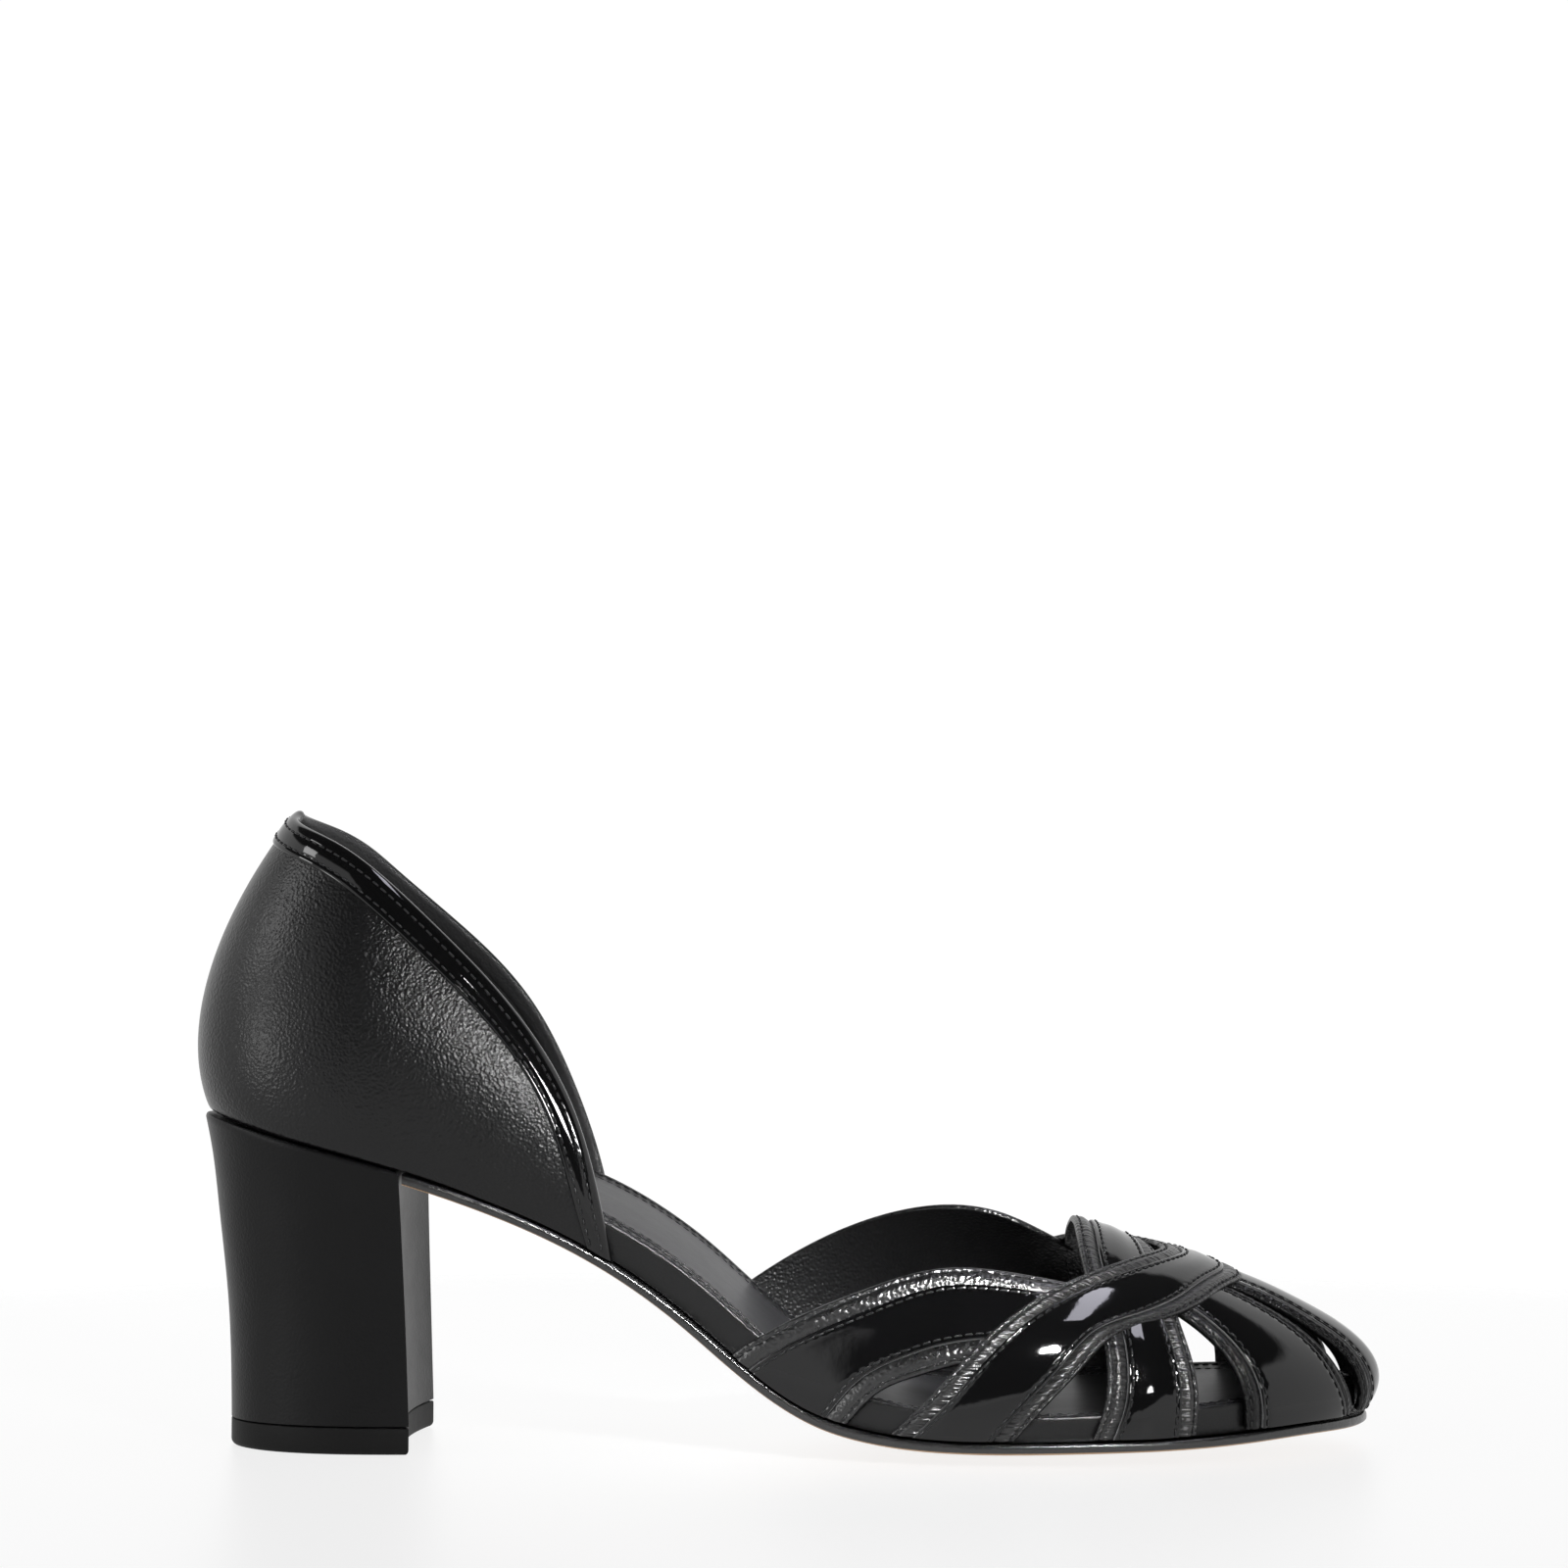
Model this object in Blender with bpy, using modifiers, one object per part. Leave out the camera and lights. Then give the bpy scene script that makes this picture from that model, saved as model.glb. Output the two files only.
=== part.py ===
"""Right-foot block-heel pump with an open waist and a vamp of crossing straps.

The toe points to +X, the outer (lateral) side of the foot lies at -Y, the inner (medial) side at +Y,
and the shoe stands on the plane Z = 0. Tables are in millimetres from the heel's rearmost point; meshes
are in metres.
"""

from collections import namedtuple
from math import cos, hypot, pi, radians, sin

import bmesh
import bpy
import numpy as np

MM = 0.001

# Driving sizes in millimetres
SHOE_LENGTH = 237.5
GAP = 0.3                 # clearance between neighbouring pieces
SOLE_THICKNESS = 2.0
SOLE_EDGE = 2.3           # how far the sole reaches past the insole board
SOLE_SHOULDER = 0.3       # easing of the sole's upper edge
BOARD_SHOULDER = 0.8      # easing of the board's upper edge
TIP_CUT = 1.0             # flat at the ends of the board and at the sole's toe
BREAST = 43.7             # heel breast at the sole
LIFT_THICKNESS = 5.2
LIFT_ROUNDING = 0.8
QUARTER_WALL = 1.6
COLLAR_WALL = 0.6
COLLAR_WIDTH = 5.2
STRAP_WALL = 1.4
PATENT_RISE = 0.5         # patent middle of a strap above its binding
BINDING_WIDTH = 4.2       # plain binding along each edge of a strap
EDGE_ROUNDING = 0.7
MIN_STRAP = 9.0           # width under which a strap's section keeps its proportions

# Insole board outline, seen from above
Footprint = namedtuple("Footprint", "x lateral medial")
FOOTPRINT = [
    Footprint(4.9, 0.0, 0.0),
    Footprint(7.0, 10.0, 10.0),
    Footprint(14.0, 18.4, 18.4),
    Footprint(26.0, 23.8, 23.8),
    Footprint(44.0, 25.2, 25.2),
    Footprint(64.0, 23.9, 23.6),
    Footprint(84.0, 23.0, 22.2),
    Footprint(104.0, 24.2, 21.8),
    Footprint(124.0, 28.8, 24.4),
    Footprint(144.0, 34.4, 30.6),
    Footprint(160.0, 36.8, 35.0),
    Footprint(176.0, 36.6, 36.8),
    Footprint(192.0, 33.8, 35.6),
    Footprint(206.0, 28.4, 31.6),
    Footprint(217.0, 21.2, 25.8),
    Footprint(226.0, 12.8, 18.6),
    Footprint(231.3, 4.4, 11.0),
    Footprint(232.9, -3.0, 3.0),
]

# Surface the board lies on: height of its lateral edge, extra height of its medial edge, sag of its middle
Seat = namedtuple("Seat", "x edge medial_lift sag half_width")
SEAT = [
    Seat(2.0, 66.0, 0.0, 0.0, 26.0),
    Seat(24.0, 60.1, 0.0, 0.0, 26.0),
    Seat(44.0, 54.7, 0.4, 0.0, 26.0),
    Seat(61.0, 48.9, 2.0, 0.0, 24.5),
    Seat(80.0, 40.2, 4.2, 0.0, 23.5),
    Seat(99.0, 27.4, 4.8, 0.0, 24.0),
    Seat(110.5, 17.8, 4.6, 0.2, 25.5),
    Seat(118.5, 12.0, 4.0, 0.5, 27.0),
    Seat(126.0, 8.1, 3.2, 0.9, 28.5),
    Seat(134.0, 5.8, 2.2, 1.4, 31.0),
    Seat(148.5, 4.2, 0.8, 2.4, 35.0),
    Seat(160.0, 4.1, 0.0, 2.7, 37.0),
    Seat(176.0, 4.4, 0.0, 2.8, 37.5),
    Seat(193.5, 4.9, 0.0, 2.4, 36.0),
    Seat(210.0, 5.6, 0.0, 1.5, 29.0),
    Seat(222.0, 6.1, 0.0, 0.8, 20.0),
    Seat(234.0, 6.2, 0.0, 0.0, 12.0),
]

Board = namedtuple("Board", "x thickness")
BOARD = [
    Board(2.0, 5.0),
    Board(44.0, 5.4),
    Board(100.0, 6.3),
    Board(136.0, 5.9),
    Board(170.0, 5.0),
    Board(200.0, 5.8),
    Board(234.0, 5.7),
]

# Forepart of the last: walls rise from the board's edge to the ridge
VampLast = namedtuple("VampLast", "run ridge_x ridge_y ridge_z rise flare reach sweep")
VAMP_LAST = [
    VampLast(112.0, 131.0, 3.0, 62.0, 20.0, 2.0, 20.0, 0.0),
    VampLast(154.0, 160.0, 4.0, 50.0, 20.0, 3.0, 23.0, 0.0),
    VampLast(186.0, 180.0, 4.0, 41.6, 17.0, 3.0, 22.0, 5.0),
    VampLast(217.0, 199.0, 4.0, 34.7, 13.0, 2.8, 17.0, 20.0),
    VampLast(243.0, 214.0, 4.0, 29.2, 9.0, 3.6, 10.5, 50.0),
    VampLast(259.2, 222.0, 4.0, 25.3, 6.0, 6.2, 13.0, 90.0),
]

# Back part of the last: walls rise from the board's edge to the top of the cone
QuarterLast = namedtuple("QuarterLast", "run cone_x cone_y cone_z rise flare drop spread")
QUARTER_LAST = [
    QuarterLast(0.0, 21.3, 0.0, 125.4, 15.0, 6.8, 21.5, 16.7),
    QuarterLast(21.0, 25.5, 10.5, 125.6, 15.0, 6.0, 23.0, 12.0),
    QuarterLast(34.5, 34.0, 17.0, 126.0, 16.0, 5.0, 26.0, 8.0),
    QuarterLast(52.5, 49.0, 20.0, 126.0, 18.0, 4.0, 30.0, 5.0),
    QuarterLast(72.5, 66.0, 19.5, 126.0, 20.0, 4.0, 32.0, 4.0),
    QuarterLast(92.5, 83.0, 18.0, 126.0, 20.0, 4.0, 34.0, 3.0),
]

# Collar from the heel's back to the sole at the waist, on the quarter's wall
Collar = namedtuple("Collar", "run climb")
LATERAL_COLLAR = [
    Collar(0.0, 1.0),
    Collar(23.5, 0.935),
    Collar(36.0, 0.875),
    Collar(54.0, 0.735),
    Collar(72.0, 0.56),
    Collar(85.0, 0.37),
    Collar(90.5, 0.175),
    Collar(93.5, 0.0),
]
MEDIAL_COLLAR = [
    Collar(0.0, 1.0),
    Collar(23.0, 0.965),
    Collar(39.0, 0.87),
    Collar(57.5, 0.725),
    Collar(74.5, 0.535),
    Collar(83.0, 0.345),
    Collar(88.5, 0.14),
    Collar(91.0, 0.0),
]
QUARTER_CORNER = 66.0     # run at which the quarter's lower edge gives way to its front
TUCK_DEPTH = 4.0          # how far the quarter's sides lean in at the collar
TUCK_REACH = 24.0         # distance below the collar at which they begin to lean in
TUCK_FORWARD = 0.45       # share of the way forward at which the lean is full
TUCK_CLIMB = 0.55         # climb from the sole at which the lean is full

# Straps from the sole upwards: the runs and girths of their two edges, and their height over the last
Strap = namedtuple("Strap", "rear_run rear_girth front_run front_girth lift")
OUTER_WING = [
    Strap(117.2, -1.0, 140.0, -1.0, 0.0),
    Strap(120.8, -0.91, 142.5, -0.945, 0.0),
    Strap(127.7, -0.76, 146.5, -0.876, 0.0),
    Strap(138.0, -0.61, 153.0, -0.82, 0.0),
    Strap(150.0, -0.505, 159.0, -0.783, 0.0),
    Strap(165.0, -0.463, 166.0, -0.755, 0.0),
    Strap(181.5, -0.452, 173.0, -0.735, 0.0),
]
INNER_WING = [
    Strap(115.0, 1.0, 138.0, 1.0, 0.0),
    Strap(118.4, 0.9, 140.5, 0.945, 0.0),
    Strap(124.0, 0.725, 144.5, 0.86, 0.0),
    Strap(133.0, 0.506, 151.0, 0.76, 0.0),
    Strap(146.0, 0.34, 157.5, 0.69, 0.0),
    Strap(162.0, 0.265, 165.0, 0.63, 0.0),
    Strap(184.0, 0.335, 176.0, 0.6, 0.0),
]
CHEVRON = [
    Strap(148.5, -1.0, 172.5, -1.0, 0.0),
    Strap(154.5, -0.9, 178.0, -0.885, 0.2),
    Strap(160.0, -0.785, 184.0, -0.76, 0.8),
    Strap(167.0, -0.64, 190.5, -0.63, 1.0),
    Strap(175.0, -0.515, 200.0, -0.55, 1.0),
    Strap(185.0, -0.39, 210.0, -0.44, 1.0),
    Strap(196.0, -0.25, 220.0, -0.29, 1.0),
    Strap(206.5, 0.0, 232.5, 0.0, 1.0),
    Strap(196.0, 0.14, 220.0, 0.23, 1.0),
    Strap(186.0, 0.24, 210.0, 0.37, 1.0),
    Strap(176.0, 0.37, 200.0, 0.48, 1.0),
    Strap(168.0, 0.53, 191.0, 0.58, 1.0),
    Strap(160.5, 0.71, 184.0, 0.73, 0.8),
    Strap(154.5, 0.86, 178.0, 0.87, 0.2),
    Strap(148.5, 1.0, 172.5, 1.0, 0.0),
]
CROSS_HALF = [
    Strap(187.0, -1.0, 207.0, -1.0, 0.0),
    Strap(188.8, -0.9, 207.3, -0.9, 0.0),
    Strap(189.2, -0.78, 207.0, -0.78, 0.1),
    Strap(187.5, -0.62, 205.3, -0.62, 0.3),
    Strap(183.5, -0.44, 203.5, -0.44, 0.3),
    Strap(180.3, -0.25, 203.5, -0.25, 0.3),
    Strap(179.4, 0.0, 204.0, 0.0, 0.3),
]
TOE_SIDE = [
    Strap(217.5, -1.0, 247.0, -1.0, 0.0),
    Strap(217.0, -0.851, 243.7, -0.78, 0.0),
    Strap(214.9, -0.713, 240.7, -0.577, 0.0),
    Strap(211.1, -0.599, 235.2, -0.417, 0.0),
    Strap(206.0, -0.512, 227.0, -0.307, 0.0),
    Strap(200.0, -0.446, 217.0, -0.226, 0.0),
]
INNER_TOE_SIDE = [
    Strap(219.5, 1.0, 247.0, 1.0, 0.0),
    Strap(219.2, 0.851, 245.8, 0.765, 0.0),
    Strap(218.4, 0.713, 245.6, 0.55, 0.0),
    Strap(214.5, 0.615, 240.5, 0.4, 0.0),
    Strap(208.5, 0.52, 231.0, 0.285, 0.0),
    Strap(201.5, 0.446, 218.0, 0.22, 0.0),
]

# Centre toe strap from the sole upwards: one edge, and its middle down the toe's profile
TOE_DROP = 26.0           # length of the toe's profile below the ridge
TOE_LIFT = 0.3            # height of the centre strap over the last
ToeStrap = namedtuple("ToeStrap", "edge_run edge_girth middle")
TOE_CENTRE_HALF = [
    ToeStrap(250.2, -1.0, 285.2),
    ToeStrap(248.6, -0.739, 276.7),
    ToeStrap(246.3, -0.548, 268.2),
    ToeStrap(241.0, -0.424, 261.8),
    ToeStrap(232.9, -0.312, 251.2),
    ToeStrap(223.7, -0.252, 237.3),
    ToeStrap(214.2, -0.201, 224.3),
]

# Heel block from its top down: share of its height, back, half width, breast and hollow of the breast
HeelLevel = namedtuple("HeelLevel", "share back half_width breast hollow")
HEEL = [
    HeelLevel(0.0, 2.0, 27.3, 43.7, 0.8),
    HeelLevel(0.1, 3.3, 26.3, 43.9, 2.0),
    HeelLevel(0.3, 4.9, 24.9, 44.3, 2.6),
    HeelLevel(0.6, 6.9, 23.6, 44.9, 2.6),
    HeelLevel(1.0, 7.8, 23.0, 45.6, 2.6),
]

# Steps of the mesh, and of the slopes that are read from the surfaces
SLAB_STEPS = 44
SLAB_ACROSS = 6
QUARTER_STEPS = 22        # on each side of the heel's back
QUARTER_RISE_STEPS = 10
COLLAR_RISE_STEPS = 2
HEEL_STEPS = 14           # on each side of the heel's back
HEEL_LEVELS = 8
BREAST_STEPS = 6
STRAP_STEP = 4.0          # length of a mesh step along a strap
STRAP_FINENESS = 2        # mesh steps across a strap's patent
TOE_FINENESS = 6          # the same for the strap that rounds the toe
SHARP_ANGLE = 35.0        # degrees between faces from which an edge is drawn sharp
HALVINGS = 40             # of the span in which a run is looked for
OUTLINE_LAP = 4           # footprint rows repeated past the heel's back
OUTLINE_STEP = 0.05
LAST_STEP = 0.5
RUN_STEP = 0.2
CLIMB_STEP = 0.005
SEAM_GIRTH = 0.01         # girth at which normals are read beside the ridge
OVERHANG = 1.2            # share of the half width up to which the seat's section goes on
MOST_EASE = 0.4           # share of the width that an eased edge may take


def spline(knots, values):
    """Natural cubic spline through rows of values, as a function of the knot parameter."""
    knots = np.asarray(knots, float)
    values = np.asarray(values, float)
    count = len(knots)
    step = np.diff(knots)
    system = np.eye(count)
    right = np.zeros_like(values)
    for i in range(1, count - 1):
        system[i, i - 1:i + 2] = step[i - 1], 2.0 * (step[i - 1] + step[i]), step[i]
        right[i] = 6.0 * ((values[i + 1] - values[i]) / step[i] - (values[i] - values[i - 1]) / step[i - 1])
    bend = np.linalg.solve(system, right)

    def at(parameter):
        i = int(np.clip(np.searchsorted(knots, parameter) - 1, 0, count - 2))
        b = (parameter - knots[i]) / step[i]
        a = 1.0 - b
        curve = ((a ** 3 - a) * bend[i] + (b ** 3 - b) * bend[i + 1]) * step[i] ** 2 / 6.0
        return a * values[i] + b * values[i + 1] + curve

    return at


def table_spline(table):
    """Spline over a table's first column that returns the other columns as one array."""
    rows = np.array(table, float)
    return spline(rows[:, 0], rows[:, 1:])


def heel_spline(table):
    """Spline over a table and its mirror image about the heel's back, where cone_y changes sign."""
    rows = np.array(table, float)
    image = rows[:0:-1].copy()
    image[:, [0, 2]] *= -1.0
    rows = np.concatenate((image, rows))
    return spline(rows[:, 0], rows[:, 1:])


def footprint_spline():
    """Closed outline of the board against the run: lateral side, toe, then the medial side backwards."""
    rows = np.array(FOOTPRINT, float)
    lateral = np.column_stack((rows[:, 0], -rows[:, 1]))
    medial = np.column_stack((rows[:, 0], rows[:, 2]))
    chords = [np.linalg.norm(np.diff(line, axis=0), axis=1) for line in (lateral, medial)]
    run = np.concatenate(([0.0], np.cumsum(np.mean(chords, axis=0))))
    loop = 2.0 * run[-1]
    lap = slice(1, OUTLINE_LAP + 1)
    knots = np.concatenate((-run[lap][::-1], run, loop - run[-2::-1], loop + run[lap]))
    points = np.concatenate((medial[lap][::-1], lateral, medial[-2::-1], lateral[lap]))
    return run[-1], spline(knots, points)


TOE_RUN, outline = footprint_spline()
seat_rows = table_spline(SEAT)
board_rows = table_spline(BOARD)
vamp_rows = table_spline(VAMP_LAST)
quarter_rows = heel_spline(QUARTER_LAST)


def edge_point(run, side, outset=0.0):
    """Board edge in plan, moved outwards, and its outward direction; side is -1 lateral and 1 medial."""
    place = run if side < 0 else 2.0 * TOE_RUN - run
    along = outline(place + OUTLINE_STEP) - outline(place - OUTLINE_STEP)
    out = np.array((along[1], -along[0])) / np.linalg.norm(along)
    return outline(place) + outset * out, out


def run_at(x):
    """Run along the board's edge at a distance from the heel, between the heel's and the toe's curves."""
    low, high = 0.0, TOE_RUN
    for _ in range(HALVINGS):
        middle = (low + high) / 2.0
        low, high = (middle, high) if outline(middle)[0] < x else (low, middle)
    return low


def seat_height(x, y):
    """Height of the surface that carries the board."""
    edge, medial_lift, sag, half_width = seat_rows(x)
    across = np.clip(y / half_width, -OVERHANG, OVERHANG)
    return edge + medial_lift * (across + 1.0) / 2.0 - sag * (1.0 - across ** 2)


def steepness(x):
    """Ratio of a vertical thickness to the thickness square to the seat."""
    return hypot(1.0, (seat_rows(x + LAST_STEP) - seat_rows(x - LAST_STEP))[0] / (2.0 * LAST_STEP))


def unit(vector):
    return vector / np.linalg.norm(vector)


def bezier(start, first, second, end, t):
    s = 1.0 - t
    return s ** 3 * start + 3.0 * s * s * t * first + 3.0 * s * t * t * second + t ** 3 * end


def wall_foot(run, side, rise, flare, wall):
    """Lower end of a wall beside the board, its first handle and its outward direction."""
    plan, out = edge_point(run, side, GAP)
    outside = plan + wall * out
    hem = GAP + wall * flare / hypot(flare, rise)
    foot = np.array((plan[0], plan[1], max(seat_height(*plan), seat_height(*outside)) + hem))
    out = np.array((out[0], out[1], 0.0))
    return foot, foot + flare * out + np.array((0.0, 0.0, rise)), out


def vamp_surface(run, girth):
    """Forepart of the last; girth is -1 at the lateral edge, 0 on the ridge and 1 at the medial edge."""
    side = -1.0 if girth < 0.0 else 1.0
    rise, flare, reach, sweep = vamp_rows(run)[3:]
    ridge = vamp_rows(run)[:3]
    ahead = unit(vamp_rows(run + LAST_STEP)[:3] - vamp_rows(run - LAST_STEP)[:3])
    foot, first, _ = wall_foot(run, side, rise, flare, STRAP_WALL + PATENT_RISE)
    turn = radians(sweep)
    second = ridge + reach * (cos(turn) * np.array((0.0, side, 0.0)) + sin(turn) * ahead)
    return bezier(foot, first, second, ridge, 1.0 - abs(girth))


def quarter_surface(run, climb):
    """Back part of the last; run is negative on the medial side, climb is 0 at the board, 1 at the cone."""
    side = 1.0 if run < 0.0 else -1.0
    cone_x, cone_y, cone_z, rise, flare, drop, spread_out = quarter_rows(run)
    foot, first, out = wall_foot(abs(run), side, rise, flare, QUARTER_WALL)
    cone = np.array((cone_x, -cone_y, cone_z))
    second = cone + spread_out * out - np.array((0.0, 0.0, drop))
    return bezier(foot, first, second, cone, climb)


def raised(surface, first, second, height):
    """Point at a height over one of the last's surfaces."""
    along = surface(first + RUN_STEP, second) - surface(first - RUN_STEP, second)
    up = surface(first, second + CLIMB_STEP) - surface(first, second - CLIMB_STEP)
    return surface(first, second) + height * unit(np.cross(along, up))


def vamp_point(run, girth, height):
    """Point at a height over the forepart, its normal read clear of the toe's and the ridge's seams."""
    side = -1.0 if girth < 0.0 else 1.0
    clear_run = min(run, TOE_RUN - LAST_STEP)
    clear_girth = side * min(max(abs(girth), SEAM_GIRTH), 1.0 - SEAM_GIRTH)
    lift = raised(vamp_surface, clear_run, clear_girth, height) - vamp_surface(clear_run, clear_girth)
    return vamp_surface(run, girth) + lift


def new_object(name, mesh, material, collection):
    item = bpy.data.objects.new(name, mesh)
    mesh.materials.append(material)
    collection.objects.link(item)
    item.parent = shoe
    return item


def mesh_from(name, points, faces, closed):
    """Mesh in metres from points in millimetres; a closed one has its faces turned outwards."""
    built = bmesh.new()
    verts = [built.verts.new(tuple(float(c) * MM for c in point)) for point in points]
    for face in faces:
        built.faces.new([verts[i] for i in face])
    if closed:
        bmesh.ops.recalc_face_normals(built, faces=built.faces)
    mesh = bpy.data.meshes.new(name)
    built.to_mesh(mesh)
    built.free()
    mesh.shade_smooth()
    mesh.set_sharp_from_angle(angle=radians(SHARP_ANGLE))
    return mesh


def loft(name, rings, folded=False):
    """Closed solid through rings of equal point counts; a folded ring comes back under its own points."""
    size = len(rings[0])
    points = [point for ring in rings for point in ring]
    faces = []
    for first in (0, len(points) - size):
        if folded:
            last = first + size - 1
            faces += [[first + i, first + i + 1, last - i - 1, last - i] for i in range(size // 2 - 1)]
        else:
            faces.append(list(range(first, first + size)))
    for r in range(len(rings) - 1):
        for i in range(size):
            j = (i + 1) % size
            faces.append([r * size + i, r * size + j, (r + 1) * size + j, (r + 1) * size + i])
    return mesh_from(name, points, faces, True)


def sheet(name, grid):
    """Open surface through a grid of points; its faces look along columns x rows."""
    rows, columns = len(grid), len(grid[0])
    points = [point for row in grid for point in row]
    faces = []
    for r in range(rows - 1):
        for c in range(columns - 1):
            corner = r * columns + c
            faces.append([corner, corner + columns, corner + columns + 1, corner + 1])
    return mesh_from(name, points, faces, False)


def closing_steps(start, stop, count):
    """Values from start to stop that lie closer together towards both ends."""
    return [start + (stop - start) * (1.0 - cos(pi * i / count)) / 2.0 for i in range(count + 1)]


def slab(name, runs, outset, lower, upper, shoulder):
    """Solid between two heights, as wide as the board's outline moved outwards, with eased upper edges."""
    rings = []
    for run in runs:
        lateral = edge_point(run, -1.0, outset)[0]
        medial = edge_point(run, 1.0, outset)[0]
        ease = min(MOST_EASE, shoulder / np.linalg.norm(medial - lateral))
        shares = [i / SLAB_ACROSS for i in range(SLAB_ACROSS + 1)]
        under = [lateral + share * (medial - lateral) for share in shares]
        over = [lateral + (ease + share * (1.0 - 2.0 * ease)) * (medial - lateral) for share in shares]
        ring = [(x, y, lower(x, y)) for x, y in under]
        ring.append((*medial, upper(*medial) - shoulder))
        ring += [(x, y, upper(x, y)) for x, y in reversed(over)]
        ring.append((*lateral, upper(*lateral) - shoulder))
        rings.append(ring)
    return loft(name, rings)


def sole_bottom(x, y):
    return max(0.0, seat_height(x, y) - GAP / 2.0 - SOLE_THICKNESS * steepness(x))


def sole_top(x, y):
    return seat_height(x, y) - GAP / 2.0


def board_bottom(x, y):
    return seat_height(x, y) + GAP / 2.0


def board_top(x, y):
    return board_bottom(x, y) + board_rows(x)[0] * steepness(x)


def build_outsole(collection, material):
    runs = closing_steps(run_at(BREAST + 2.0 * GAP), TOE_RUN - TIP_CUT, SLAB_STEPS)
    mesh = slab("outsole", runs, SOLE_EDGE, sole_bottom, sole_top, SOLE_SHOULDER)
    new_object("outsole", mesh, material, collection)


def build_insole(collection, material):
    runs = closing_steps(TIP_CUT, TOE_RUN - TIP_CUT, SLAB_STEPS)
    mesh = slab("insole", runs, 0.0, board_bottom, board_top, BOARD_SHOULDER)
    new_object("insole", mesh, material, collection)


def heel_outline():
    """Places round the heel as shares: 0 at the back to 1 at the breast, and -1 to 1 across."""
    top = HEEL[0]
    reach = run_at(top.breast)
    sides = []
    for i in range(-HEEL_STEPS, HEEL_STEPS + 1):
        run = reach * i / HEEL_STEPS
        x, y = edge_point(abs(run), -1.0 if run < 0.0 else 1.0)[0]
        sides.append((x, y))
    back = min(x for x, _ in sides)
    front = max(x for x, _ in sides)
    half = max(y for _, y in sides)
    ring = [((x - back) / (front - back), y / half, False) for x, y in sides]
    last = ring[-1][1]
    ring += [(1.0, last * (1.0 - 2.0 * i / BREAST_STEPS), True) for i in range(1, BREAST_STEPS)]
    return ring


def heel_ring(level, height_at):
    """Ring of the heel block at one level."""
    share, back, half_width, breast, hollow = level
    ring = []
    for along, across, on_breast in heel_outline():
        x = back + along * (breast - back)
        y = across * half_width
        if on_breast:
            x -= hollow * (1.0 - across ** 2)
        ring.append((x, y, height_at(x, y, share)))
    return ring


def heel_height(x, y, share):
    top = sole_top(x, y)
    return top + share * (LIFT_THICKNESS + GAP - top)


def build_heel(collection, material):
    levels = table_spline(HEEL)
    shares = [i / HEEL_LEVELS for i in range(HEEL_LEVELS + 1)]
    rings = [heel_ring((share, *levels(share)), heel_height) for share in shares]
    new_object("heel", loft("heel", rings), material, collection)


def build_top_lift(collection, material):
    rings = [heel_ring(HEEL[-1], lambda x, y, share, z=z: z) for z in (LIFT_THICKNESS, LIFT_ROUNDING)]
    foot = HEEL[-1]._replace(
        back=HEEL[-1].back + LIFT_ROUNDING, half_width=HEEL[-1].half_width - LIFT_ROUNDING,
        breast=HEEL[-1].breast - LIFT_ROUNDING)
    rings.append(heel_ring(foot, lambda x, y, share: 0.0))
    new_object("top_lift", loft("top_lift", rings), material, collection)


def quarter_patch(side):
    """Place on the quarter's wall from a, the share of the way forward, and b, the share of the way up."""
    table = LATERAL_COLLAR if side < 0 else MEDIAL_COLLAR
    rows = np.array(table, float)
    points = [quarter_surface(-side * row.run, row.climb) for row in table]
    lengths = [np.linalg.norm(b - a) for a, b in zip(points, points[1:])]
    collar = spline(np.concatenate(([0.0], np.cumsum(lengths))) / sum(lengths), rows)
    front = table[-1].run

    def at(a, b):
        top = collar(a)
        low = np.array((a * QUARTER_CORNER, 0.0))
        back = np.array((0.0, b))
        ahead = np.array((QUARTER_CORNER + b * (front - QUARTER_CORNER), 0.0))
        corners = (1.0 - a) * np.array((0.0, b)) + a * b * np.array((front, 0.0))
        corners = corners + a * (1.0 - b) * np.array((QUARTER_CORNER, 0.0))
        run, climb = (1.0 - b) * low + b * top + (1.0 - a) * back + a * ahead - corners
        return -side * run, climb

    return at


def eased(share):
    share = min(max(share, 0.0), 1.0)
    return share * share * (3.0 - 2.0 * share)


def tuck(a, below, climb):
    """Inward lean of the quarter at a distance below its collar; none at the heel's back and at the sole."""
    full = TUCK_DEPTH * eased(a / TUCK_FORWARD) * eased(climb / TUCK_CLIMB)
    return full * max(0.0, 1.0 - below / TUCK_REACH) ** 2


def quarter_length(at, a):
    return np.linalg.norm(quarter_surface(*at(a, 1.0)) - quarter_surface(*at(a, 0.0)))


def quarter_grid(lowest, rise_steps, height):
    """Grid over the quarter from its medial front round the heel to its lateral front."""
    columns = []
    for i in range(-QUARTER_STEPS, QUARTER_STEPS + 1):
        a = abs(i) / QUARTER_STEPS
        at = MEDIAL_QUARTER if i < 0 else LATERAL_QUARTER
        start = lowest(at, a)
        length = quarter_length(at, a)
        column = []
        for j in range(rise_steps + 1):
            b = start + (1.0 - start) * j / rise_steps
            run, climb = at(a, b)
            column.append(raised(quarter_surface, run, climb, height - tuck(a, (1.0 - b) * length, climb)))
        columns.append(column)
    return columns


def collar_start(at, a):
    """Share of the way up at which the collar band begins."""
    return 1.0 - COLLAR_WIDTH / quarter_length(at, a)


def add_wall(item, thickness):
    wall = item.modifiers.new("wall", "SOLIDIFY")
    wall.thickness = thickness * MM
    wall.offset = 1.0
    wall.use_even_offset = True


def build_quarter(collection, material):
    grid = quarter_grid(lambda at, a: 0.0, QUARTER_RISE_STEPS, 0.0)
    add_wall(new_object("quarter", sheet("quarter", grid), material, collection), QUARTER_WALL)


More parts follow.
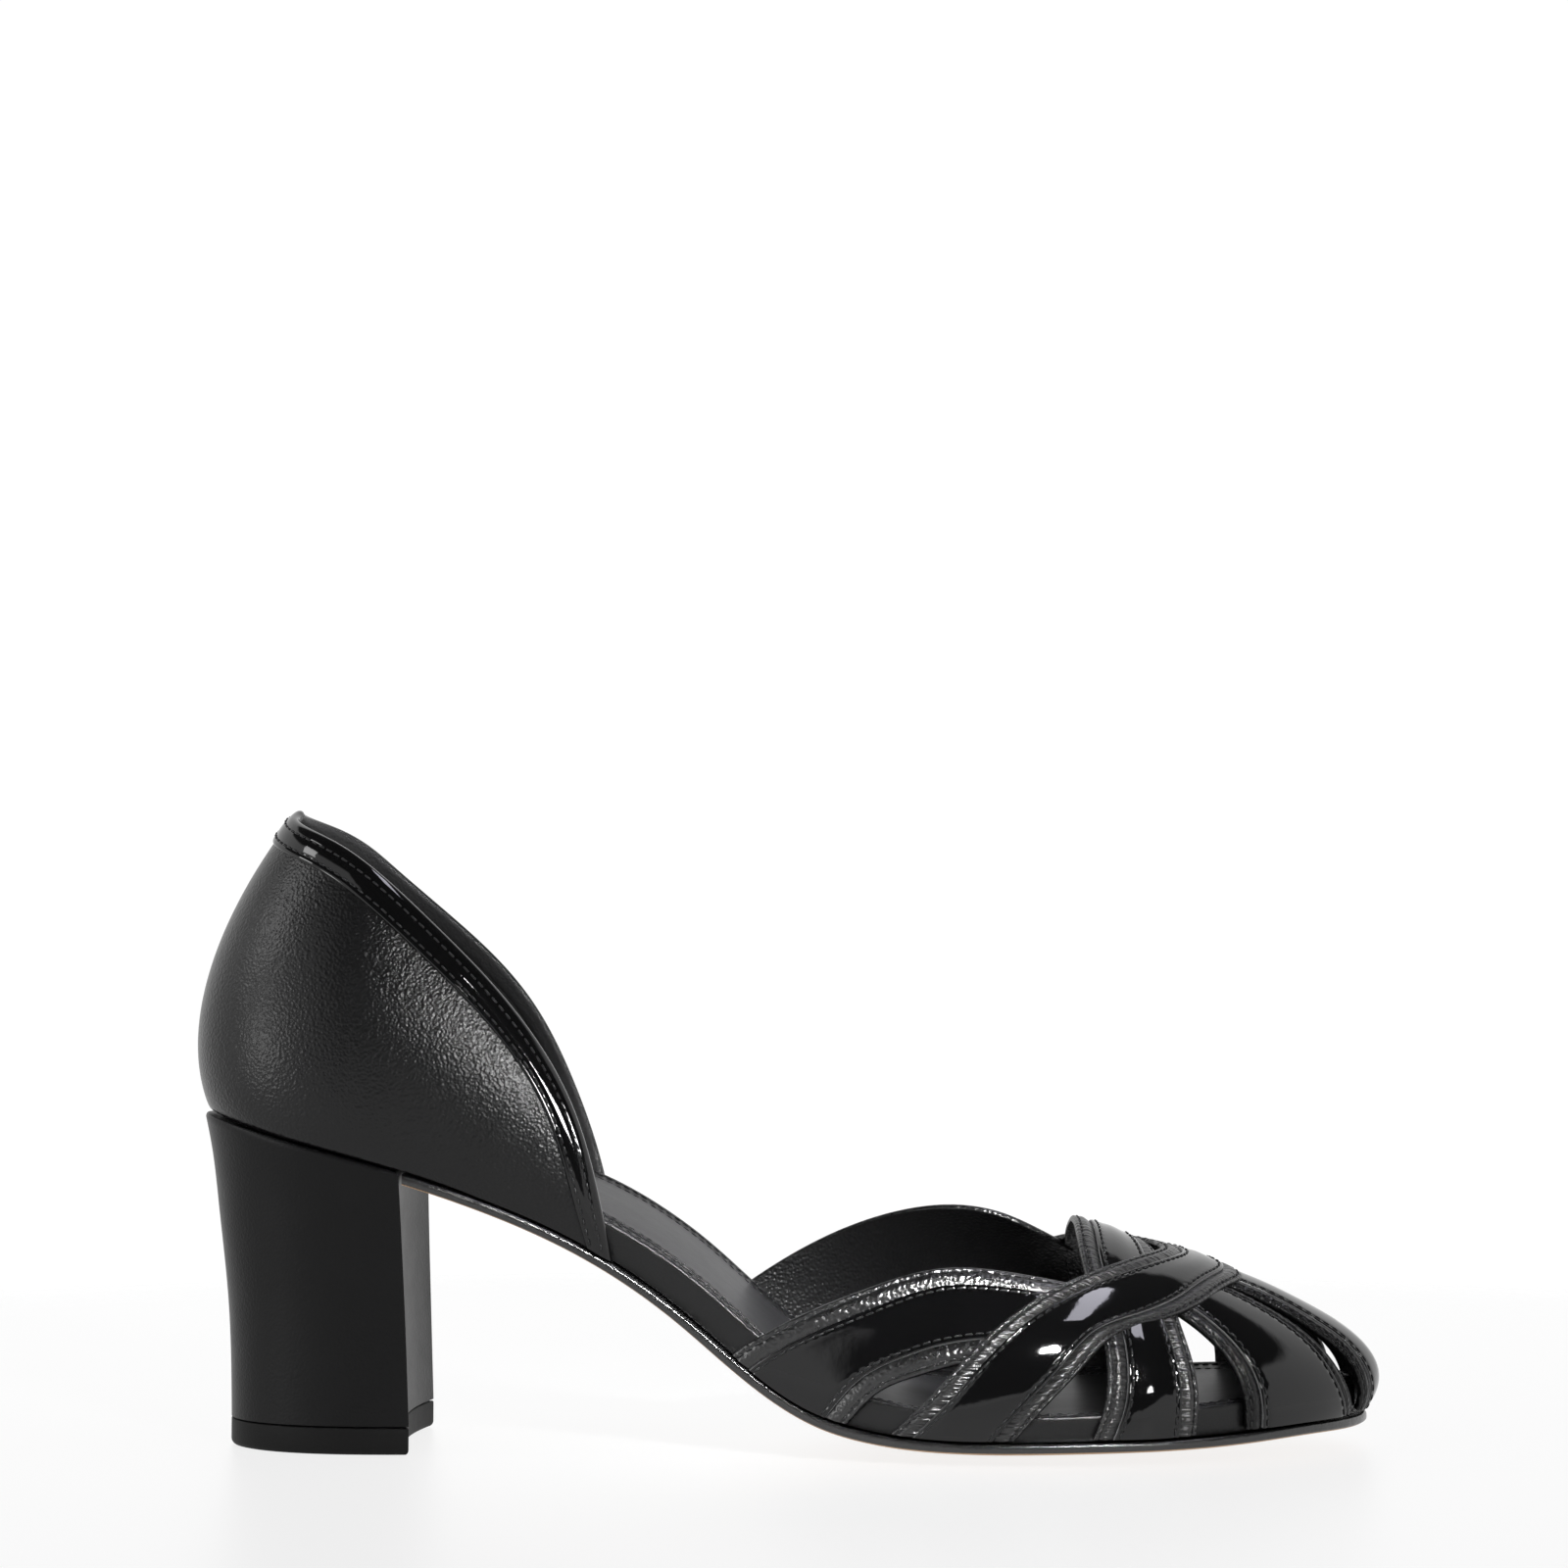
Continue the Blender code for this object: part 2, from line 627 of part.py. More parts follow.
def build_collar_band(collection, material):
    grid = quarter_grid(collar_start, COLLAR_RISE_STEPS, QUARTER_WALL + GAP)
    add_wall(new_object("collar_band", sheet("collar_band", grid), material, collection), COLLAR_WALL)


def other_side(rows):
    return [row._replace(rear_girth=-row.rear_girth, front_girth=-row.front_girth) for row in rows]


def mirrored(half):
    """Strap from the sole over the ridge to the other side, from its half up to the ridge."""
    return half + other_side(half[-2::-1])


def along_strap(table, places):
    """Spline over a strap's rows, from 0 at its first to 1 at its last, spaced as the places are."""
    lengths = [np.linalg.norm(b - a) for a, b in zip(places, places[1:])]
    knots = np.concatenate(([0.0], np.cumsum(lengths))) / sum(lengths)
    return spline(knots, np.array(table, float)), sum(lengths)


def strap_section(width, fineness):
    """Shares across a strap and heights over its underside, once round the section."""
    corner = EDGE_ROUNDING / width
    binding = BINDING_WIDTH / width
    inner = binding + PATENT_RISE / width
    top = STRAP_WALL + PATENT_RISE
    half = [(0.0, STRAP_WALL - EDGE_ROUNDING), (corner, STRAP_WALL), (binding, STRAP_WALL)]
    patent = [(inner + (1.0 - 2.0 * inner) * i / fineness, top) for i in range(fineness + 1)]
    over = half + patent + [(1.0 - share, height) for share, height in reversed(half)]
    under = [(share, 0.0) for share, _ in reversed(over)]
    return over + under


def strap_rings(across, length, fineness=STRAP_FINENESS):
    """Rings along a strap; across gives the run, girth and lift at a share along and a share across."""
    rings = []
    steps = round(length / STRAP_STEP)
    for i in range(steps + 1):
        a = i / steps
        width = np.linalg.norm(vamp_surface(*across(a, 1.0)[:2]) - vamp_surface(*across(a, 0.0)[:2]))
        ring = []
        for share, height in strap_section(max(width, MIN_STRAP), fineness):
            run, girth, lift = across(a, share)
            ring.append(vamp_point(run, girth, lift + height))
        rings.append(ring)
    return rings


def two_edged(table):
    """Strap between two edges."""
    middles = []
    for row in table:
        girth = (row.rear_girth + row.front_girth) / 2.0
        middles.append(vamp_surface((row.rear_run + row.front_run) / 2.0, girth))
    rows, length = along_strap(table, middles)

    def across(a, share):
        rear_run, rear_girth, front_run, front_girth, lift = rows(a)
        run = rear_run + share * (front_run - rear_run)
        return run, rear_girth + share * (front_girth - rear_girth), lift

    return across, length


def toe_line(middle):
    """Run and girth down the middle of the toe."""
    return min(middle, TOE_RUN), -np.clip((middle - TOE_RUN) / TOE_DROP, 0.0, 1.0)


def toe_centred(table):
    """Strap over the toe's middle, the same on both sides of it."""
    middles = [vamp_surface(*toe_line(row.middle)) for row in table]
    rows, length = along_strap(table, middles)

    def across(a, share):
        edge_run, edge_girth, middle = rows(a)
        middle_run, middle_girth = toe_line(middle)
        inward = 1.0 - abs(2.0 * share - 1.0)
        run = edge_run + inward * (middle_run - edge_run)
        girth = edge_girth + inward * (middle_girth - edge_girth)
        return run, girth if share <= 0.5 else -girth, TOE_LIFT

    return across, length, TOE_FINENESS


def build_vamp(collection, guides, material):
    vamp = new_object("vamp", loft("vamp", strap_rings(*two_edged(CHEVRON)), True), material, collection)
    straps = {
        "cross_strap": two_edged(mirrored(CROSS_HALF)),
        "outer_wing": two_edged(OUTER_WING),
        "inner_wing": two_edged(INNER_WING),
        "outer_toe_strap": two_edged(TOE_SIDE),
        "inner_toe_strap": two_edged(INNER_TOE_SIDE),
        "centre_toe_strap": toe_centred(TOE_CENTRE_HALF),
    }
    for name, shape in straps.items():
        strap = new_object(name, loft(name, strap_rings(*shape), True), material, guides)
        strap.hide_render = True
        strap.display_type = "WIRE"
        join = vamp.modifiers.new(name, "BOOLEAN")
        join.operation = "UNION"
        join.use_self = True
        join.object = strap


def new_material(name, colour, roughness):
    material = bpy.data.materials.new(name)
    material.use_nodes = True
    shader = material.node_tree.nodes["Principled BSDF"]
    shader.inputs["Base Color"].default_value = (*colour, 1.0)
    shader.inputs["Roughness"].default_value = roughness
    shader.inputs["Metallic"].default_value = 0.0
    return material


def new_collection(name):
    collection = bpy.data.collections.new(name)
    bpy.context.scene.collection.children.link(collection)
    return collection


for item in list(bpy.data.objects):
    bpy.data.objects.remove(item, do_unlink=True)

LATERAL_QUARTER = quarter_patch(-1.0)
MEDIAL_QUARTER = quarter_patch(1.0)

parts = new_collection("leather_pump")
guides = new_collection("strap_guides")
shoe = bpy.data.objects.new("shoe", None)
shoe.location = (-SHOE_LENGTH / 2.0 * MM, 0.0, 0.0)
parts.objects.link(shoe)

build_outsole(parts, new_material("sole black", (0.012, 0.012, 0.012), 0.5))
build_insole(parts, new_material("sock grey", (0.03, 0.03, 0.032), 0.55))
build_heel(parts, new_material("heel cover black", (0.012, 0.012, 0.013), 0.45))
build_top_lift(parts, new_material("rubber black", (0.01, 0.01, 0.01), 0.7))
build_quarter(parts, new_material("smooth leather black", (0.011, 0.011, 0.012), 0.45))
build_collar_band(parts, new_material("collar patent black", (0.006, 0.006, 0.007), 0.12))
build_vamp(parts, guides, new_material("strap patent black", (0.006, 0.006, 0.007), 0.15))
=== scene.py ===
"""Looks of the right-foot block-heel pump: smooth and patent black leather, stitches, sock and studio."""

from collections import namedtuple
from functools import partial
from math import cos, pi, radians, sin

import bmesh
import bpy
import numpy as np
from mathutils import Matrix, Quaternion, Vector


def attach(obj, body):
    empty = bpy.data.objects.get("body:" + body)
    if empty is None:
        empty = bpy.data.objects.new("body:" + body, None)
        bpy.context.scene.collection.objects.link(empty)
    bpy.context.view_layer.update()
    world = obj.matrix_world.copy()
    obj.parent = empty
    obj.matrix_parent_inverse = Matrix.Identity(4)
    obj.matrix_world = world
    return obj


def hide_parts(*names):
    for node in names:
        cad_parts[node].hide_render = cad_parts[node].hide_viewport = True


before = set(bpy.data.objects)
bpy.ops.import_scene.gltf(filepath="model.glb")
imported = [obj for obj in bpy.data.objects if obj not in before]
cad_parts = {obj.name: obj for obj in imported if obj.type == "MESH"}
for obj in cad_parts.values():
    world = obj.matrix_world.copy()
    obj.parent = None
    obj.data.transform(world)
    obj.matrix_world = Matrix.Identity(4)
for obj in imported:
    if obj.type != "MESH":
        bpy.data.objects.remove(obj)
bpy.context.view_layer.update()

MM = 0.001
SHIFT = 118.75  # row X of a table's X, in millimetres

# Sizes in millimetres, as in the part's source
GAP = 0.3  # clearance between neighbouring pieces
SOLE_THICKNESS = 2.0
SOLE_EDGE = 2.3  # how far the sole reaches past the insole board
BREAST = 43.7  # heel breast at the sole
LIFT_THICKNESS = 5.2
QUARTER_WALL = 1.6
STRAP_WALL = 1.4
PATENT_RISE = 0.5  # patent middle of a strap above its binding
QUARTER_CORNER = 66.0  # run at which the quarter's lower edge gives way to its front
TUCK_DEPTH = 4.0  # how far the quarter's sides lean in at the collar
TUCK_REACH = 24.0  # distance below the collar at which they begin to lean in
TUCK_FORWARD = 0.45  # share of the way forward at which the lean is full
TUCK_CLIMB = 0.55  # climb from the sole at which the lean is full
TOE_DROP = 26.0  # length of the toe's profile below the ridge
TOE_LIFT = 0.3  # height of the middle toe band over the last
OVERHANG = 1.2  # half widths past which the seat's height stays as it is
OUTLINE_LAP = 4  # footprint rows repeated past the heel's back

# Steps of the slopes that are read from the surfaces
OUTLINE_STEP = 0.05
LAST_STEP = 0.5
RUN_STEP = 0.2
CLIMB_STEP = 0.005
SEAM_GIRTH = 0.01  # girth at which normals are read beside the ridge
HALVINGS = 40  # of the span in which a run is looked for

# Sizes of the dressing in millimetres
STITCH_PITCH = 2.05
STITCH_LENGTH = 1.5
THREAD_RADIUS = 0.2
THREAD_SINK = 0.05  # how far the threads lie in the leather
STRAP_STEP = 0.45  # length of a mesh step along a strap
WRAP_BORDER = 3.3  # wrapped border of the board beside the sock
BORDER_RISE = 1.1  # rise of that border's outline on the medial side


def listed(kind, rows):
    """Rows of a table, by the names of their columns."""
    return [kind(*row) for row in rows]


# Insole board outline, seen from above
Footprint = namedtuple("Footprint", "x lateral medial")
FOOTPRINT = listed(Footprint, [
    (4.9, 0.0, 0.0), (7.0, 10.0, 10.0), (14.0, 18.4, 18.4), (26.0, 23.8, 23.8), (44.0, 25.2, 25.2),
    (64.0, 23.9, 23.6), (84.0, 23.0, 22.2), (104.0, 24.2, 21.8), (124.0, 28.8, 24.4), (144.0, 34.4, 30.6),
    (160.0, 36.8, 35.0), (176.0, 36.6, 36.8), (192.0, 33.8, 35.6), (206.0, 28.4, 31.6), (217.0, 21.2, 25.8),
    (226.0, 12.8, 18.6), (231.3, 4.4, 11.0), (232.9, -3.0, 3.0),
])

# Surface the board lies on: height of its lateral edge, extra height of its medial edge, sag of its middle
Seat = namedtuple("Seat", "x edge medial_lift sag half_width")
SEAT = listed(Seat, [
    (2.0, 66.0, 0.0, 0.0, 26.0), (24.0, 60.1, 0.0, 0.0, 26.0), (44.0, 54.7, 0.4, 0.0, 26.0),
    (61.0, 48.9, 2.0, 0.0, 24.5), (80.0, 40.2, 4.2, 0.0, 23.5), (99.0, 27.4, 4.8, 0.0, 24.0),
    (110.5, 17.8, 4.6, 0.2, 25.5), (118.5, 12.0, 4.0, 0.5, 27.0), (126.0, 8.1, 3.2, 0.9, 28.5),
    (134.0, 5.8, 2.2, 1.4, 31.0), (148.5, 4.2, 0.8, 2.4, 35.0), (160.0, 4.1, 0.0, 2.7, 37.0),
    (176.0, 4.4, 0.0, 2.8, 37.5), (193.5, 4.9, 0.0, 2.4, 36.0), (210.0, 5.6, 0.0, 1.5, 29.0),
    (222.0, 6.1, 0.0, 0.8, 20.0), (234.0, 6.2, 0.0, 0.0, 12.0),
])

# Thickness of the insole board
Board = namedtuple("Board", "x thickness")
BOARD = listed(Board, [
    (2.0, 5.0), (44.0, 5.4), (100.0, 6.3), (136.0, 5.9), (170.0, 5.0), (200.0, 5.8), (234.0, 5.7),
])

# Forepart of the last: walls rise from the board's edge to the ridge
VampLast = namedtuple("VampLast", "run ridge_x ridge_y ridge_z rise flare reach sweep")
VAMP_LAST = listed(VampLast, [
    (112.0, 131.0, 3.0, 62.0, 20.0, 2.0, 20.0, 0.0), (154.0, 160.0, 4.0, 50.0, 20.0, 3.0, 23.0, 0.0),
    (186.0, 180.0, 4.0, 41.6, 17.0, 3.0, 22.0, 5.0), (217.0, 199.0, 4.0, 34.7, 13.0, 2.8, 17.0, 20.0),
    (243.0, 214.0, 4.0, 29.2, 9.0, 3.6, 10.5, 50.0), (259.2, 222.0, 4.0, 25.3, 6.0, 6.2, 13.0, 90.0),
])

# Back part of the last: walls rise from the board's edge to the top of the cone
QuarterLast = namedtuple("QuarterLast", "run cone_x cone_y cone_z rise flare drop spread")
QUARTER_LAST = listed(QuarterLast, [
    (0.0, 21.3, 0.0, 125.4, 15.0, 6.8, 21.5, 16.7), (21.0, 25.5, 10.5, 125.6, 15.0, 6.0, 23.0, 12.0),
    (34.5, 34.0, 17.0, 126.0, 16.0, 5.0, 26.0, 8.0), (52.5, 49.0, 20.0, 126.0, 18.0, 4.0, 30.0, 5.0),
    (72.5, 66.0, 19.5, 126.0, 20.0, 4.0, 32.0, 4.0), (92.5, 83.0, 18.0, 126.0, 20.0, 4.0, 34.0, 3.0),
])

# Collar from the heel's back to the sole at the waist, on the quarter's wall
Collar = namedtuple("Collar", "run climb")
LATERAL_COLLAR = listed(Collar, [
    (0.0, 1.0), (23.5, 0.935), (36.0, 0.875), (54.0, 0.735), (72.0, 0.56), (85.0, 0.37), (90.5, 0.175),
    (93.5, 0.0),
])
MEDIAL_COLLAR = listed(Collar, [
    (0.0, 1.0), (23.0, 0.965), (39.0, 0.87), (57.5, 0.725), (74.5, 0.535), (83.0, 0.345), (88.5, 0.14),
    (91.0, 0.0),
])

# Straps from the sole upwards: the runs and girths of their two edges, and their height over the last
Strap = namedtuple("Strap", "rear_run rear_girth front_run front_girth lift", defaults=(0.0,))
OUTER_WING = listed(Strap, [
    (117.2, -1.0, 140.0, -1.0), (120.8, -0.91, 142.5, -0.945), (127.7, -0.76, 146.5, -0.876),
    (138.0, -0.61, 153.0, -0.82), (150.0, -0.505, 159.0, -0.783), (165.0, -0.463, 166.0, -0.755),
    (181.5, -0.452, 173.0, -0.735),
])
INNER_WING = listed(Strap, [
    (115.0, 1.0, 138.0, 1.0), (118.4, 0.9, 140.5, 0.945), (124.0, 0.725, 144.5, 0.86),
    (133.0, 0.506, 151.0, 0.76), (146.0, 0.34, 157.5, 0.69), (162.0, 0.265, 165.0, 0.63),
    (184.0, 0.335, 176.0, 0.6),
])
CHEVRON = listed(Strap, [
    (148.5, -1.0, 172.5, -1.0), (154.5, -0.9, 178.0, -0.885, 0.2), (160.0, -0.785, 184.0, -0.76, 0.9),
    (167.0, -0.64, 190.5, -0.63, 1.25), (175.0, -0.515, 200.0, -0.55, 1.25),
    (185.0, -0.39, 210.0, -0.44, 1.25), (196.0, -0.25, 220.0, -0.29, 1.25), (206.5, 0.0, 232.5, 0.0, 1.25),
    (196.0, 0.14, 220.0, 0.23, 1.25), (186.0, 0.24, 210.0, 0.37, 1.25), (176.0, 0.37, 200.0, 0.48, 1.25),
    (168.0, 0.53, 191.0, 0.58, 1.25), (160.5, 0.71, 184.0, 0.73, 0.9), (154.5, 0.86, 178.0, 0.87, 0.2),
    (148.5, 1.0, 172.5, 1.0),
])
CROSS_HALF = listed(Strap, [
    (187.0, -1.0, 207.0, -1.0), (188.8, -0.9, 207.3, -0.9), (189.2, -0.78, 207.0, -0.78, 0.1),
    (187.5, -0.62, 205.3, -0.62, 0.3), (183.5, -0.44, 203.5, -0.44, 0.3), (180.3, -0.25, 203.5, -0.25, 0.3),
    (179.4, 0.0, 204.0, 0.0, 0.3),
])
TOE_SIDE = listed(Strap, [
    (217.5, -1.0, 247.0, -1.0), (217.0, -0.851, 243.7, -0.78), (214.9, -0.713, 240.7, -0.577),
    (211.1, -0.599, 235.2, -0.417), (206.0, -0.512, 227.0, -0.307), (200.0, -0.446, 217.0, -0.226),
])
INNER_TOE_SIDE = listed(Strap, [
    (219.5, 1.0, 247.0, 1.0), (219.2, 0.851, 245.8, 0.765), (218.4, 0.713, 245.6, 0.55),
    (214.5, 0.615, 240.5, 0.4), (208.5, 0.52, 231.0, 0.285), (201.5, 0.446, 218.0, 0.22),
])

# Middle toe band from the sole upwards: one edge, and its middle down the toe's profile
ToeStrap = namedtuple("ToeStrap", "edge_run edge_girth middle")
TOE_CENTRE_HALF = listed(ToeStrap, [
    (250.2, -1.0, 285.2), (248.6, -0.739, 276.7), (246.3, -0.548, 268.2), (241.0, -0.424, 261.8),
    (232.9, -0.312, 251.2), (223.7, -0.252, 237.3), (214.2, -0.201, 224.3),
])

# Heel block from its top down: share of its height, back, half width, breast and hollow of the breast
HeelLevel = namedtuple("HeelLevel", "share back half_width breast hollow")
HEEL = listed(HeelLevel, [
    (0.0, 2.0, 27.3, 43.7, 0.8), (0.1, 3.3, 26.3, 43.9, 2.0), (0.3, 4.9, 24.9, 44.3, 2.6),
    (0.6, 6.9, 23.6, 44.9, 2.6), (1.0, 7.8, 23.0, 45.6, 2.6),
])


# The last, as in the part's source, for arrays of places

def spline(knots, values):
    """Natural cubic spline through rows of values, for an array of parameters."""
    knots = np.asarray(knots, float)
    values = np.asarray(values, float)
    count = len(knots)
    step = np.diff(knots)
    system = np.eye(count)
    right = np.zeros_like(values)
    for i in range(1, count - 1):
        system[i, i - 1:i + 2] = step[i - 1], 2.0 * (step[i - 1] + step[i]), step[i]
        right[i] = 6.0 * ((values[i + 1] - values[i]) / step[i] - (values[i] - values[i - 1]) / step[i - 1])
    bend = np.linalg.solve(system, right)

    def at(parameter):
        parameter = np.asarray(parameter, float)
        i = np.clip(np.searchsorted(knots, parameter) - 1, 0, count - 2)
        b = ((parameter - knots[i]) / step[i])[..., None]
        a = 1.0 - b
        curve = ((a ** 3 - a) * bend[i] + (b ** 3 - b) * bend[i + 1]) * (step[i] ** 2)[..., None] / 6.0
        return a * values[i] + b * values[i + 1] + curve

    return at


def table_spline(table):
    rows = np.array(table, float)
    return spline(rows[:, 0], rows[:, 1:])


def heel_spline(table):
    """Spline over a table and its mirror image about the heel's back, where cone_y changes sign."""
    rows = np.array(table, float)
    image = rows[:0:-1].copy()
    image[:, [0, 2]] *= -1.0
    return table_spline(np.concatenate((image, rows)))


def footprint_spline():
    rows = np.array(FOOTPRINT, float)
    lateral = np.column_stack((rows[:, 0], -rows[:, 1]))
    medial = np.column_stack((rows[:, 0], rows[:, 2]))
    chords = [np.linalg.norm(np.diff(line, axis=0), axis=1) for line in (lateral, medial)]
    run = np.concatenate(([0.0], np.cumsum(np.mean(chords, axis=0))))
    loop = 2.0 * run[-1]
    lap = slice(1, OUTLINE_LAP + 1)
    knots = np.concatenate((-run[lap][::-1], run, loop - run[-2::-1], loop + run[lap]))
    points = np.concatenate((medial[lap][::-1], lateral, medial[-2::-1], lateral[lap]))
    return run[-1], spline(knots, points)


TOE_RUN, outline = footprint_spline()
seat_rows = table_spline(SEAT)
board_rows = table_spline(BOARD)
vamp_rows = table_spline(VAMP_LAST)
quarter_rows = heel_spline(QUARTER_LAST)


def joined(*values):
    """Coordinates as one array of points."""
    return np.stack(np.broadcast_arrays(*values), axis=-1)


def unit(vectors):
    return vectors / np.linalg.norm(vectors, axis=-1, keepdims=True)


def edge_point(run, side, outset=0.0):
    """Board edge in plan, moved outwards, and its outward direction; side is -1 lateral and 1 medial."""
    run, side, outset = np.broadcast_arrays(*(np.asarray(v, float) for v in (run, side, outset)))
    place = np.where(side < 0, run, 2.0 * TOE_RUN - run)
    along = outline(place + OUTLINE_STEP) - outline(place - OUTLINE_STEP)
    out = unit(joined(along[..., 1], -along[..., 0]))
    return outline(place) + outset[..., None] * out, out


def run_at(x):
    low, high = 0.0, TOE_RUN
    for _ in range(HALVINGS):
        middle = (low + high) / 2.0
        low, high = (middle, high) if outline(middle)[0] < x else (low, middle)
    return low


def seat_height(x, y):
    edge, medial_lift, sag, half_width = np.moveaxis(seat_rows(x), -1, 0)
    across = np.clip(y / half_width, -OVERHANG, OVERHANG)
    return edge + medial_lift * (across + 1.0) / 2.0 - sag * (1.0 - across ** 2)


def steepness(x):
    slope = (seat_rows(x + LAST_STEP) - seat_rows(x - LAST_STEP))[..., 0] / (2.0 * LAST_STEP)
    return np.hypot(1.0, slope)


def sole_bottom(x, y):
    return np.maximum(0.0, seat_height(x, y) - GAP / 2.0 - SOLE_THICKNESS * steepness(x))


def sole_top(x, y):
    return seat_height(x, y) - GAP / 2.0


def board_bottom(x, y):
    return seat_height(x, y) + GAP / 2.0


def board_top(x, y):
    return board_bottom(x, y) + board_rows(x)[..., 0] * steepness(x)


def bezier(start, first, second, end, t):
    t = np.asarray(t)[..., None]
    s = 1.0 - t
    return s ** 3 * start + 3.0 * s * s * t * first + 3.0 * s * t * t * second + t ** 3 * end


def wall_foot(run, side, rise, flare, wall):
    plan, out = edge_point(run, side, GAP)
    outside = plan + wall * out
    hem = GAP + wall * flare / np.hypot(flare, rise)
    low = np.maximum(seat_height(plan[..., 0], plan[..., 1]), seat_height(outside[..., 0], outside[..., 1]))
    foot = joined(plan[..., 0], plan[..., 1], low + hem)
    out = joined(out[..., 0], out[..., 1], 0.0)
    up = joined(0.0, 0.0, rise)
    return foot, foot + flare[..., None] * out + up, out


def vamp_surface(run, girth):
    side = np.where(girth < 0.0, -1.0, 1.0)
    rows = vamp_rows(run)
    ridge = rows[..., :3]
    rise, flare, reach, sweep = np.moveaxis(rows[..., 3:], -1, 0)
    ahead = unit(vamp_rows(run + LAST_STEP)[..., :3] - vamp_rows(run - LAST_STEP)[..., :3])
    foot, first, _ = wall_foot(run, side, rise, flare, STRAP_WALL + PATENT_RISE)
    turn = np.radians(sweep)
    over = np.cos(turn)[..., None] * joined(0.0, side, 0.0) + np.sin(turn)[..., None] * ahead
    return bezier(foot, first, ridge + reach[..., None] * over, ridge, 1.0 - np.abs(girth))


def quarter_surface(run, climb):
    side = np.where(run < 0.0, 1.0, -1.0)
    cone_x, cone_y, cone_z, rise, flare, drop, spread_out = np.moveaxis(quarter_rows(run), -1, 0)
    foot, first, out = wall_foot(np.abs(run), side, rise, flare, QUARTER_WALL)
    cone = joined(cone_x, -cone_y, cone_z)
    second = cone + spread_out[..., None] * out - joined(0.0, 0.0, drop)
    return bezier(foot, first, second, cone, climb)


def normal_of(surface, run, rise):
    along = surface(run + RUN_STEP, rise) - surface(run - RUN_STEP, rise)
    up = surface(run, rise + CLIMB_STEP) - surface(run, rise - CLIMB_STEP)
    return unit(np.cross(along, up))


def vamp_point(run, girth, height):
    """Points at a height over the forepart, and their normals, read clear of the toe and the ridge."""
    run, girth, height = np.broadcast_arrays(*(np.asarray(v, float) for v in (run, girth, height)))
    side = np.where(girth < 0.0, -1.0, 1.0)
    clear_run = np.minimum(run, TOE_RUN - LAST_STEP)
    clear_girth = side * np.clip(np.abs(girth), SEAM_GIRTH, 1.0 - SEAM_GIRTH)
    normal = normal_of(vamp_surface, clear_run, clear_girth)
    return vamp_surface(run, girth) + height[..., None] * normal, normal


def quarter_point(run, climb, height):
    normal = normal_of(quarter_surface, run, climb)
    return quarter_surface(run, climb) + np.asarray(height)[..., None] * normal, normal


# Meshes

MERGE_DISTANCE = 1e-7  # metres


def placed(name, data):
    item = bpy.data.objects.new(name, data)
    bpy.context.scene.collection.objects.link(item)
    return item


def new_piece(name, points, faces, materials, indices=None, uv=None, sharp=40.0, *, slot):
    """Mesh piece in metres from points in millimetres; merges coincident points and turns faces outwards."""
    points = np.asarray(points, float).reshape(-1, 3)
    mesh = bpy.data.meshes.new(name)
    mesh.from_pydata(((points - (SHIFT, 0.0, 0.0)) * MM).tolist(), [], faces)
    for material in materials:
        mesh.materials.append(material)
    if indices is not None:
        mesh.polygons.foreach_set("material_index", np.asarray(indices, np.int32))
    if uv is not None:
        layer = mesh.uv_layers.new(name="strip")
        loops = np.zeros(len(mesh.loops), np.int32)
        mesh.loops.foreach_get("vertex_index", loops)
        layer.data.foreach_set("uv", np.asarray(uv, np.float32).reshape(-1, 2)[loops].ravel())
    built = bmesh.new()
    built.from_mesh(mesh)
    bmesh.ops.remove_doubles(built, verts=built.verts, dist=MERGE_DISTANCE)
    bmesh.ops.recalc_face_normals(built, faces=built.faces)
    built.to_mesh(mesh)
    built.free()
    mesh.shade_smooth()
    mesh.set_sharp_from_angle(angle=radians(sharp))
    item = placed(name, mesh)
    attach(item, "root")
    return item


def line_length(points):
    return np.concatenate(([0.0], np.cumsum(np.linalg.norm(np.diff(points, axis=0), axis=1))))


def arch(share):
    """Rise from nothing to one and back."""
    return 1.0 - (2.0 * share - 1.0) ** 2


def ring_faces(rows, size):
    """Quads between rings of points that close on themselves, and the two ends."""
    r, c = np.meshgrid(np.arange(rows - 1), np.arange(size), indexing="ij")
    d = (c + 1) % size
    quads = np.stack((r * size + c, r * size + d, (r + 1) * size + d, (r + 1) * size + c), axis=-1)
    return quads.reshape(-1, 4).tolist() + [list(range(size)), list(range((rows - 1) * size, rows * size))]


def lofted(name, rings, materials, kinds=None, **options):
    """Closed piece through rings of points; kinds are its columns' materials, and its ends take the first."""
    rows, size = rings.shape[:2]
    indices = None if kinds is None else kinds * (rows - 1) + [0] * 2
    return new_piece(name, rings, ring_faces(rows, size), materials, indices, **options)


# Stitches

